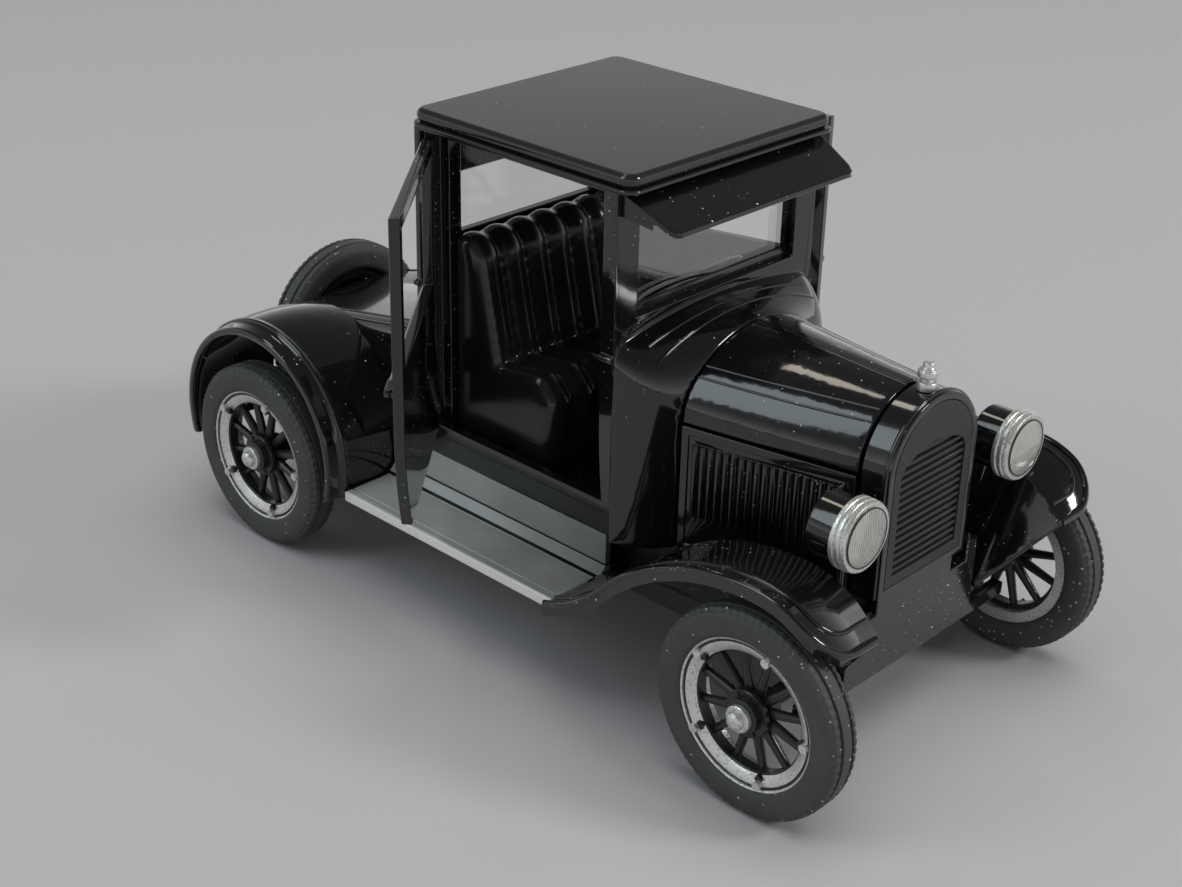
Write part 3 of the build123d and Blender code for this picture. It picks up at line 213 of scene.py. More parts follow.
class CoupeStage(bpy.types.PropertyGroup):
    """Floor, light and camera"""

    floor: colour("Floor", "Pale floor", (0.40, 0.39, 0.405))
    floor_side: length("Floor side", "Side of the square floor", 4000.0)
    focal: FloatProperty(
        name="Focal length", description="Camera lens in millimetres", default=58.11, min=1, unit="CAMERA"
    )
    air: colour("Air", "Colour of the light from all round", (0.865, 0.875, 0.86))
    sky: level("Sky", "Strength of the light from overhead", 0.12)
    backdrop: level("Backdrop", "Strength that the camera sees past the floor", 0.40)
    glow: level("Glow", "Added strength of the light at the horizon", 1.1)


# Node trees
def math_node(operation, reflected=False):
    """A method that adds a Math node on a value and another, or on the two in reflected order."""

    def method(value, other):
        first, second = (other, value) if reflected else (value, other)
        return value.graph.add("ShaderNodeMath", {"operation": operation}, {0: first, 1: second})

    return method


class Value:
    """One output in a node tree. Arithmetic on it adds Math nodes."""

    def __init__(self, graph, node, output=0):
        self.graph = graph
        self.node = node
        self.socket = node.outputs[output]

    def out(self, name):
        """Another output of the same node."""
        return Value(self.graph, self.node, name)

    def sine(self):
        """The sine of the value."""
        return self.graph.add("ShaderNodeMath", {"operation": "SINE"}, {0: self})

    __add__, __radd__ = math_node("ADD"), math_node("ADD", True)
    __sub__, __rsub__ = math_node("SUBTRACT"), math_node("SUBTRACT", True)
    __mul__, __rmul__ = math_node("MULTIPLY"), math_node("MULTIPLY", True)
    __lt__, __gt__ = math_node("LESS_THAN"), math_node("GREATER_THAN")
    most = math_node("MAXIMUM")


class Graph:
    """A node tree that is filled by add()."""

    def __init__(self, tree):
        self.tree = tree
        self.tree.nodes.clear()

    @cached_property
    def place(self):
        """Object coordinates, in metres."""
        return self.add("ShaderNodeTexCoord", output="Object")

    def add(self, kind, settings=None, sockets=None, output=0):
        """Add a node: its settings first, then the values or links of its sockets."""
        node = self.tree.nodes.new(kind)
        for name, value in (settings or {}).items():
            setattr(node, name, value)
        for key, value in (sockets or {}).items():
            socket = node.inputs[key]
            if isinstance(value, Value):
                self.tree.links.new(value.socket, socket)
            else:
                socket.default_value = value
        return Value(self, node, output) if node.outputs else None

    def mix(self, factor, first, second):
        """Blend two colours by a factor. The node's colours are its inputs 6 and 7 and its output 2."""
        sockets = {"Factor": factor, 6: first, 7: second}
        return self.add("ShaderNodeMix", {"data_type": "RGBA"}, sockets, output=2)


def rgba(rgb, share=1.0):
    """A property's colour, or a share of it, with full alpha."""
    return (*(share * c for c in rgb), 1.0)


def noise(graph, scale, detail=3.0):
    """Soft noise between 0 and 1."""
    return graph.add("ShaderNodeTexNoise", None, {"Vector": graph.place, "Scale": scale, "Detail": detail})


def flecks(graph, scale, radius, share):
    """Sparse specks: one in each share of the cells, of a radius given as a share of the cell."""
    sockets = {"Vector": graph.place, "Scale": scale}
    cells = graph.add("ShaderNodeTexVoronoi", {"feature": "F1"}, sockets)
    pick = graph.add("ShaderNodeSeparateColor", None, {"Color": cells.out("Color")})
    near = cells.out("Distance") < pick.out("Green") * radius
    return near * (pick.out("Red") > 1 - share)


def bumped(graph, height, strength, distance):
    """A Bump node's normal from a height."""
    sockets = {"Strength": strength, "Distance": distance, "Height": height}
    return graph.add("ShaderNodeBump", None, sockets)


def material(name):
    """A new material's graph."""
    made = bpy.data.materials.new(name)
    made.use_nodes = True
    return made, Graph(made.node_tree)


def surface(graph, sockets):
    """The Principled shader with its sockets, joined to the output."""
    shader = graph.add("ShaderNodeBsdfPrincipled", None, sockets)
    graph.add("ShaderNodeOutputMaterial", None, {"Surface": shader})


def paint_material(name, base, dust, roughness, fleck_share, coat):
    """Sprayed paint: faint orange peel, uneven gloss and dust flecks."""
    made, graph = material(name)
    cloud = noise(graph, 90.0)
    peel = noise(graph, 1100.0, 1.0)
    dusty = noise(graph, 60.0, 2.0) > 0.47
    specks = flecks(graph, 800.0, 0.12, fleck_share) * dusty
    fine = flecks(graph, 2000.0, 0.18, 2 * fleck_share) * dusty
    spots = specks.most(fine * 0.6)
    sockets = {
        "Base Color": graph.mix(spots, rgba(base), rgba(dust)),
        "Roughness": roughness + cloud * 0.08 + spots * 0.5,
        "IOR": 1.5,
        "Coat Weight": coat - spots * coat,
        "Coat Roughness": 0.04,
        "Normal": bumped(graph, peel, 0.02, 0.2 * MM),
    }
    surface(graph, sockets)
    return made


def silver_material(name, base, wear, metal):
    """Silver paint with a sparkling metallic grain, and as much dark pitting and dullness as its wear."""
    made, graph = material(name)
    grain = noise(graph, 5200.0, 2.0)
    patch = noise(graph, 420.0)
    pits = noise(graph, 3400.0, 2.0) > 0.60
    spoilt = (patch * 0.35 + grain * 0.2 + pits * 0.4) * wear
    sockets = {
        "Base Color": graph.mix(spoilt, rgba(base), rgba(base, 0.35)),
        "Metallic": metal,
        "Roughness": 0.2 + grain * 0.2 + pits * (0.15 * wear),
        "Normal": bumped(graph, grain, 0.5 * wear, GRAIN_RISE),
    }
    surface(graph, sockets)
    return made


def satin_material(name, base, roughness, grain_depth):
    """Moulded plastic or bare casting: even colour with a fine grain."""
    made, graph = material(name)
    cloud = noise(graph, 160.0)
    grain = noise(graph, 3000.0, 2.0)
    pale = tuple(1.7 * c + 0.004 for c in base)
    sockets = {
        "Base Color": graph.mix(cloud * 0.6, rgba(base), rgba(pale)),
        "Roughness": roughness + grain * 0.12,
        "Normal": bumped(graph, grain, grain_depth, GRAIN_RISE),
    }
    surface(graph, sockets)
    return made


def rubber_material(name, base, dust):
    """Matt tyre rubber with a bloom and dust."""
    made, graph = material(name)
    bloom = noise(graph, 260.0)
    grain = noise(graph, 2600.0, 2.0)
    specks = flecks(graph, 1500.0, 0.22, 0.6)
    body = graph.mix(bloom, rgba(base), rgba(base, 1.7))
    sockets = {
        "Base Color": graph.mix(specks * 0.75, body, rgba(dust)),
        "Roughness": 0.52 + grain * 0.2,
        "Normal": bumped(graph, grain, 0.2, GRAIN_RISE),
    }
    surface(graph, sockets)
    return made


def board_material(name, base, film, sizes):
    """Black casting in a thin mottled film, darkened towards the front by a painted reflection fall-off,
    with lines of painted shade left without film at the ramp's foot and head.
    """
    made, graph = material(name)
    height = graph.add("ShaderNodeSeparateXYZ", None, {"Vector": graph.place}, "Z")
    low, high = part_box("running_board_right")
    forward = (height.out("X") - low.x) * (1 / (high.x - low.x))
    mottle = noise(graph, 130.0, 5.0)
    grain = noise(graph, 2600.0, 2.0)
    # Painted shade: the film is left off in a line at the ramp's foot and head, darkening the creases
    bare = 0
    for foot in (BOARD_TOP, BOARD_TOP + sizes.board_ramp):
        bare = bare + (height > foot) * (height < foot + sizes.board_line)
    coated = 1 - bare
    # Painted reflection: the film darkens towards the front as the board's reflection of the light falls
    # off; the mottle is the film's own uneven tone
    mottle_and_reflection_fade = mottle * 0.6 + forward * forward * 0.5
    tread = graph.mix(mottle_and_reflection_fade, rgba(film), rgba(film, 0.3))
    sockets = {
        "Base Color": graph.mix(coated, rgba(base), tread),
        "Roughness": 0.16 + coated * 0.14 + grain * 0.08,
        "Metallic": coated * 0.3,
        "Normal": bumped(graph, grain, 0.08, GRAIN_RISE),
    }
    surface(graph, sockets)
    return made


def glass_material(name, tint, gloss_share):
    """Clear moulding: a gloss over whatever lies behind, stronger at a glancing view."""
    made, graph = material(name)
    haze = noise(graph, 240.0)
    edge = graph.add("ShaderNodeLayerWeight", None, {"Blend": 0.5}, "Facing")
    sockets = {"Base Color": rgba(tint), "Metallic": 1.0, "Roughness": 0.02 + haze * 0.03}
    gloss = graph.add("ShaderNodeBsdfPrincipled", None, sockets)
    through = graph.add("ShaderNodeBsdfTransparent", None, {"Color": rgba(tint)})
    factor = gloss_share + edge * edge * edge * 0.6
    shader = graph.add("ShaderNodeMixShader", None, {0: factor, 1: through, 2: gloss})
    graph.add("ShaderNodeOutputMaterial", None, {"Surface": shader})
    return made


def lens_material(name, base, pitch, depth):
    """Silvered lens with fine upright ribs, whose painted shade and highlight stripe its colour."""
    made, graph = material(name)
    across = graph.add("ShaderNodeSeparateXYZ", None, {"Vector": graph.place}, "Y")
    rib = (across * (2 * pi / pitch)).sine()
    patch = noise(graph, 700.0)
    sockets = {
        # Painted shade and highlight: the colour darkens and lightens with the ribs, on top of their real
        # bump; the patches are random tone
        "Base Color": graph.mix(0.25 + rib * 0.25 + patch * 0.4, rgba(base), rgba(base, 0.45)),
        "Metallic": 0.72,
        "Roughness": 0.10 + patch * 0.08,
        "Coat Weight": 0.8,
        "Coat Roughness": 0.03,
        "Normal": bumped(graph, rib, 1.0, depth),
    }
    surface(graph, sockets)
    return made


FINISHES = {}


def paints(context):
    """Every finish by name, made once."""
    if not FINISHES:
        shade = context.scene.coupe_colours
        sizes = context.scene.coupe_sizes
        # After the colours: roughness, fleck share and coat of a paint, roughness and grain of a satin,
        # wear and metal share of a silver, gloss share of a glass
        made = (
            paint_material("dress_gloss_black", shade.gloss, shade.dust, 0.07, 0.13, 0.6),
            paint_material("dress_fender_black", shade.gloss, shade.dust, 0.07, 0.40, 0.6),
            # The roof's lighter, greener base is a painted reflection of the backdrop's sheen; its rougher
            # gloss is the real rubbed paint
            paint_material("dress_roof_black", shade.roof, shade.dust, 0.11, 0.03, 0.5),
            satin_material("dress_satin_black", shade.satin, 0.30, 0.10),
            board_material("dress_board_grey", shade.gloss, shade.board, sizes),
            satin_material("dress_grille_grey", shade.grille, 0.36, 0.20),
            silver_material("dress_silver_paint", shade.silver, 1.0, 0.78),
            silver_material("dress_edge_silver", shade.silver, 0.15, 0.35),
            rubber_material("dress_tyre_rubber", shade.rubber, shade.dust),
            satin_material("dress_seat_black", shade.seat, 0.14, 0.06),
            satin_material("dress_wheel_black", shade.satin, 0.22, 0.08),
            glass_material("dress_window_clear", shade.glass, 0.03),
            glass_material("dress_screen_glass", shade.glass, 0.14),
            lens_material("dress_lamp_lens", shade.lens, sizes.rib_pitch, sizes.rib_depth),
        )
        FINISHES.update({finish.name.removeprefix("dress_"): finish for finish in made})
    return FINISHES


# Meshes
def shade_by_angle(mesh, degrees):
    """Smooth faces with sharp edges past an angle."""
    mesh.polygons.foreach_set("use_smooth", [True] * len(mesh.polygons))
    mesh.set_sharp_from_angle(angle=radians(degrees))


def keep(mesh, body, finish, nodes=()):
    """Make a piece named like its mesh: paint it, let it ride on its body and stand for its CAD nodes."""
    piece = bpy.data.objects.new(mesh.name, mesh)
    bpy.context.scene.collection.objects.link(piece)
    mesh.materials.clear()
    mesh.materials.append(finish)
    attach(piece, body)
    if nodes:
        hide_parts(*nodes)
    return piece


def body_of_node(node):
    """Name of the CAD body that carries a node."""
    return frame["nodes"][node]["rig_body"]


def merged(node, flat):
    """A merged copy of a CAD node's mesh, its flat faces joined on request."""
    form = bmesh.new()
    form.from_mesh(frame["nodes"][node].data)
    bmesh.ops.remove_doubles(form, verts=form.verts, dist=WELD)
    if flat:
        bmesh.ops.dissolve_limit(form, angle_limit=FLAT_ANGLE, verts=form.verts, edges=form.edges)
    mesh = bpy.data.meshes.new("soft_" + node)
    form.to_mesh(mesh)
    form.free()
    return mesh


def soft_copy(node, round_mm, flat, finish, slot):
    """A merged copy of a CAD node whose sharp edges are rounded, or only shaded where round_mm is 0.

    Flat faces are joined first unless they are pierced, since a face can't have a hole.
    """
    mesh = merged(node, flat)
    shade_by_angle(mesh, NO_CREASE if round_mm else CREASE)
    piece = keep(mesh, body_of_node(node), finish, [node])
    if round_mm:
        bevel = piece.modifiers.new("Edges", "BEVEL")
        bevel.width = round_mm * MM
        bevel.segments = BEVEL_STEPS
        bevel.limit_method = "ANGLE"
        bevel.angle_limit = BEVEL_ANGLE
        bevel.use_clamp_overlap = False
        piece.modifiers.new("Normals", "WEIGHTED_NORMAL")


def surface_tree(node):
    """Search tree over a CAD node's faces."""
    source = frame["nodes"][node].data
    return BVHTree.FromPolygons([v.co for v in source.vertices], [p.vertices for p in source.polygons])


def laid(node, plan):
    """Points of a plan line dropped onto a CAD node from above."""
    tree = surface_tree(node)
    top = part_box(node)[1].z + MM
    points = []
    for x, y in plan:
        hit = tree.ray_cast(Vector((x, y, top)), Vector((0, 0, -1)))[0]
        if hit is None:
            raise RuntimeError(f"nothing of {node} under {x}, {y}")
        points.append(hit)
    return points


def evaluated_mesh(holder, name):
    """The evaluated mesh of an object that is then removed."""
    bpy.context.scene.collection.objects.link(holder)
    seen = holder.evaluated_get(bpy.context.evaluated_depsgraph_get())
    mesh = bpy.data.meshes.new_from_object(seen)
    mesh.name = name
    bpy.data.objects.remove(holder)
    return mesh


def tube(name, lines, radius):
    """One mesh of round beads along lines of points, with closed ends."""
    path = bpy.data.curves.new(name, "CURVE")
    path.dimensions = "3D"
    path.bevel_depth = radius
    path.bevel_resolution = 3
    path.use_fill_caps = True
    for points in lines:
        spline = path.splines.new("POLY")
        spline.points.add(len(points) - 1)
        for knot, point in zip(spline.points, points):
            knot.co = (*point, 1.0)
    mesh = evaluated_mesh(bpy.data.objects.new(name, path), name)
    bpy.data.curves.remove(path)
    shade_by_angle(mesh, BEAD_CREASE)
    return mesh


def lathe(profile, centre, out, steps, ring=True, change=None, form=None):
    """Turn a profile of (along, radius) points about the axis out through centre.

    A ring profile is closed on itself; any other starts and ends on the axis. change(row, step)
    gives what is added to the radius at one point. A form that is given is added to.
    """
    form = form or bmesh.new()
    axis = Vector(out).normalized()
    side = axis.orthogonal().normalized()
    up = axis.cross(side)
    rows = []
    for row, (along, radius) in enumerate(profile):
        base = centre + axis * along
        if not radius:
            rows.append([form.verts.new(base)] * steps)
            continue
        points = []
        for step in range(steps):
            turn = 2 * pi * step / steps
            reach = radius + (change(row, step) if change else 0)
            points.append(form.verts.new(base + (side * cos(turn) + up * sin(turn)) * reach))
        rows.append(points)
    pairs = list(zip(rows, rows[1:]))
    if ring:
        pairs.append((rows[-1], rows[0]))
    for first, second in pairs:
        for i in range(steps):
            j = (i + 1) % steps
            corners = [first[i], first[j], second[j], second[i]]
            unique = [v for k, v in enumerate(corners) if v not in corners[:k]]
            if len(unique) > 2:
                form.faces.new(unique)
    bmesh.ops.recalc_face_normals(form, faces=form.faces)
    return form


def to_mesh(form, name, degrees=TURNED_CREASE):
    """Finish a bmesh as a smooth mesh."""
    mesh = bpy.data.meshes.new(name)
    form.to_mesh(mesh)
    form.free()
    shade_by_angle(mesh, degrees)
    return mesh


def ring_tree():
    """Geometry nodes: a ring of upright bolts on the outer face of both wheels of an axle."""
    tree = bpy.data.node_groups.new("bolt_ring", "GeometryNodeTree")
    graph = Graph(tree)
    tree.interface.new_socket("Geometry", in_out="OUTPUT", socket_type="NodeSocketGeometry")
    inputs = {
        "Int": ("Count", "Sides"),
        "Float": ("Ring radius", "Bolt radius", "Bolt height"),
        "Vector": ("Right face", "Left face"),
        "Material": ("Finish",),
    }
    for kind, names in inputs.items():
        for name in names:
            tree.interface.new_socket(name, in_out="INPUT", socket_type="NodeSocket" + kind)
    given = graph.add("NodeGroupInput")
    sockets = {"Vertices": given.out("Count"), "Radius": given.out("Ring radius")}
    ring = graph.add("GeometryNodeMeshCircle", None, sockets)
    sockets = {"Vertices": given.out("Sides"), "Radius": given.out("Bolt radius")}
    sockets["Depth"] = given.out("Bolt height")
    bolt = graph.add("GeometryNodeMeshCylinder", None, sockets, "Mesh")
    sockets = {"Vector": graph.add("GeometryNodeInputPosition")}
    align = graph.add("FunctionNodeAlignRotationToVector", {"axis": "X"}, sockets, "Rotation")
    sockets = {"Points": ring, "Instance": bolt, "Rotation": align}
    bolts = graph.add("GeometryNodeInstanceOnPoints", None, sockets)
    joined = graph.add("GeometryNodeJoinGeometry")
    for face in ("Right face", "Left face"):
        sockets = {"Geometry": bolts, "Translation": given.out(face), "Rotation": (pi / 2, 0, 0)}
        turned = graph.add("GeometryNodeTransform", None, sockets)
        tree.links.new(turned.socket, joined.node.inputs["Geometry"])
    plain = graph.add("GeometryNodeRealizeInstances", None, {"Geometry": joined})
    sockets = {"Geometry": plain, "Material": given.out("Finish")}
    painted = graph.add("GeometryNodeSetMaterial", None, sockets)
    graph.add("NodeGroupOutput", None, {"Geometry": painted})
    return tree


def grown(name, tree, values):
    """A plain mesh from a geometry-nodes tree with its named inputs set."""
    holder = bpy.data.objects.new(name, bpy.data.meshes.new(name + "_seed"))
    grow = holder.modifiers.new("Grow", "NODES")
    grow.node_group = tree
    for item in tree.interface.items_tree:
        if item.in_out == "INPUT":
            grow[item.identifier] = values[item.name]
    mesh = evaluated_mesh(holder, name)
    shade_by_angle(mesh, TURNED_CREASE)
    return mesh


class CoupeStep(bpy.types.Operator):
    """Shared options of the dressing steps"""

    bl_options = {"REGISTER", "UNDO"}


class COUPE_OT_panels(CoupeStep):
    """Round the edges of the painted panels and castings"""

    bl_idname = "coupe.panels"
    bl_label = "Painted panels"

    # Nodes, edge rounding in millimetres, whether flat faces are joined first, finish, and slot where
    # that has another name
    rows = (
        (("body_shell",), 0.16, False, "gloss_black"),
        (("hood", "rear_deck"), 0.16, True, "gloss_black"),
        (("roof",), 0.16, True, "roof_black", "gloss_black"),
        (("visor", "door_right", "door_left"), 0.14, False, "gloss_black"),
        (("radiator_shell",), 0.12, False, "gloss_black"),
        (("front_apron",), 0.2, True, "gloss_black"),
        (("hood_side_right", "hood_side_left"), 0.08, False, "gloss_black"),
        (("rear_fender_right", "rear_fender_left"), 0, False, "gloss_black"),
        (("running_board_right", "running_board_left"), 0.1, True, "board_grey", "gloss_black"),
        (("lamp_body_right", "lamp_body_left"), 0.2, True, "gloss_black"),
        (("board_trim_right", "board_trim_left"), 0.08, True, "edge_silver", "silver_paint"),
        (("door_handle_right", "door_handle_left"), 0.1, True, "gloss_black"),
        (("radiator_cap",), 0.1, True, "silver_paint"),
        (("grille",), 0.06, False, "grille_grey"),
        (("base_plate",), 0, False, "satin_black"),
        (("steering_wheel",), 0.1, False, "seat_black"),
        (("spare_carrier",), 0.2, True, "gloss_black"),
        (("front_axle", "rear_axle"), 0, False, "satin_black", "axle_steel"),
        (("windscreen",), 0.05, True, "screen_glass", "window_clear"),
        (("back_light",), 0.05, True, "window_clear"),
        (("lamp_bezel_right", "lamp_bezel_left"), 0.05, True, "silver_paint"),
    )

    def execute(self, context):
        finish = paints(context)
        for nodes, round_mm, flat, paint, *slot in self.rows:
            for node in nodes:
                soft_copy(node, round_mm, flat, finish[paint], *(slot or [paint]))
        return {"FINISHED"}


class COUPE_OT_beads(CoupeStep):
    """Shape the front fenders with their rolled edges, and lay the fine lines of hood, cowl and deck"""

    bl_idname = "coupe.beads"
    bl_label = "Fenders and lines"

    # Node, insets of its lines from both sides in millimetres
    side_lines = (("rear_deck", (0.9, 2.1)), ("hood", (2.2, 3.4)))
    # Places of the cowl's lines as shares of the way from the windscreen to the hood, and their half width
    cowl_lines = (0.42, 0.62)
    cowl_half = 13.5
    bead_in = 0.45  # how far the edge bead lies inside the fender's edge, as a share of its radius
    nose_tuck = 0.6  # how far the nose's tip goes back, as a share of its droop
    nose_reach = 0.62  # how far across the nose the beads run, as a share of the fender's width
    edge_steps, corner_steps, nose_steps, side_steps, cowl_steps = 40, 12, 6, 24, 30

    def execute(self, context):
        sizes = context.scene.coupe_sizes
        black = paints(context)["gloss_black"]
        speckled = paints(context)["fender_black"]
        for side, way in SIDES:
            node = f"front_fender_{side}"
            fender = merged(node, False)
            self.clear_axle(fender, node, way, sizes)
            shade_by_angle(fender, CREASE)
            rows = [(fender, [node])]
            beads = (
                ("edge", self.bead_in * sizes.edge_bead, sizes.edge_bead),
                ("ridge", sizes.ridge_in, sizes.ridge_bead),
            )
            for bead, inset, radius in beads:
                line = laid(node, self.fender_plan(node, way, inset, sizes.nose_corner))
                rows.append((tube(f"fender_{bead}_{side}", [line], radius), []))
            for mesh, nodes in rows:
                self.droop(mesh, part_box(node)[1].x, sizes.nose_run, sizes.nose_drop)
                keep(mesh, "car_body", speckled, nodes)
        for node, insets in self.side_lines:
            plans = [self.side_plan(node, way, inset * MM) for _side, way in SIDES for inset in insets]
            self.lay_lines(f"{node}_lines", node, plans, sizes.line_bead, black)
        plans = [self.cowl_plan(share) for share in self.cowl_lines]
        self.lay_lines("cowl_lines", "body_shell", plans, sizes.line_bead, black)
        return {"FINISHED"}

    @staticmethod
    def lay_lines(title, node, plans, radius, finish):
        """Fine beads along plan lines that are laid on a panel."""
        mesh = tube(title, [laid(node, plan) for plan in plans], radius)
        keep(mesh, "car_body", finish)

    @staticmethod
    def clear_axle(mesh, node, way, sizes):
        """Raise a fender's foot in a low hump over the axle that turns under it."""
        low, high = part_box(node)
        foot = low.y if way > 0 else high.y
        axle = middle("front_axle")
        for vert in mesh.vertices:
            near = max(0.0, 1 - abs(vert.co.y - foot) / sizes.relief_in)
            along = (vert.co.x - axle.x) / sizes.relief_run
            vert.co.z += sizes.relief * near * exp(-(along**2))

    def droop(self, mesh, front, run, drop):
        """Bend the foremost part of a fender's mesh down and back, as pressed noses are."""
        for vert in mesh.vertices:
            share = max(0.0, (vert.co.x - front + run) / run)
            vert.co.z -= drop * share**2
            vert.co.x -= self.nose_tuck * drop * share**2

    def fender_plan(self, node, way, inset, corner):
        """Plan line along a fender's outer edge, round the nose corner and across the nose."""
        low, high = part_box(node)
        outer = high.y if way > 0 else low.y
        inner = low.y if way > 0 else high.y
        turn_x = high.x - corner
        turn_y = outer - way * corner
        step = (turn_x - low.x) / self.edge_steps
        plan = [(low.x + HAIR + step * i, outer - way * inset) for i in range(self.edge_steps)]
        reach = corner - inset
        for i in range(self.corner_steps + 1):
            angle = pi / 2 * i / self.corner_steps
            plan.append((turn_x + reach * sin(angle), turn_y + way * reach * cos(angle)))
        inner_crown = outer + self.nose_reach * (inner - outer)
        for i in range(1, self.nose_steps + 1):
            plan.append((high.x - inset, turn_y + (inner_crown - turn_y) * i / self.nose_steps))
        return plan

    def side_plan(self, node, way, inset):
        """Plan line at an inset from a tapering panel's side, which a ray from a metre away finds."""
        tree = surface_tree(node)
        low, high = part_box(node)
        rear, front = low.x + 1.5 * HAIR, high.x - 1.5 * HAIR
        plan = []
        for i in range(self.side_steps + 1):
            x = rear + (front - rear) * i / self.side_steps
            hit = tree.ray_cast(Vector((x, way, low.z + 2 * HAIR)), Vector((0, -way, 0)))[0]
            plan.append((x, hit.y - way * inset))
        return plan

    def cowl_plan(self, share):
        """Plan line across the cowl between the windscreen and the hood."""
        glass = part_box("windscreen")[1].x
        x = glass + share * (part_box("hood")[0].x - glass)
        half = self.cowl_half * MM
        places = [2 * i / self.cowl_steps - 1 for i in range(self.cowl_steps + 1)]
        return [(x, REAR_AXLE.y + half * across) for across in places]


class COUPE_OT_seat(CoupeStep):
    """Round the pleats of the moulded bench"""

    bl_idname = "coupe.seat"
    bl_label = "Moulded bench"

    side_normal = 0.8  # faces that look sideways more than this are the bench's ends and stay flat
    crown_level = 0.6  # share of a pleat's crown that stands out from the bench's own face
    smoothings = 16

    def execute(self, context):
        sizes = context.scene.coupe_sizes
        holder = bpy.data.objects.new("bench_seed", merged("seat", False))
        remesh = holder.modifiers.new("Even", "REMESH")
        remesh.mode = "VOXEL"
        remesh.voxel_size = sizes.seat_grain
        mesh = evaluated_mesh(holder, "moulded_seat")
        low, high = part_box("seat")
        pitch = (high.y - low.y) / sizes.pleat_count
        form = bmesh.new()
        form.from_mesh(mesh)
        form.normal_update()
        for vert in form.verts:
            across = 2 * ((vert.co.y - low.y) / pitch % 1) - 1
            if abs(vert.normal.y) < self.side_normal:
                vert.co += vert.normal * (sizes.pleat_crown * (self.crown_level - across**2))
        axes = {"use_axis_x": True, "use_axis_y": True, "use_axis_z": True}
        for _pass in range(self.smoothings):
            bmesh.ops.smooth_vert(form, verts=form.verts, factor=0.5, **axes)
        form.to_mesh(mesh)
        form.free()
        shade_by_angle(mesh, NO_CREASE)
        black = paints(context)["seat_black"]
        keep(mesh, body_of_node("seat"), black, ["seat"])
        return {"FINISHED"}


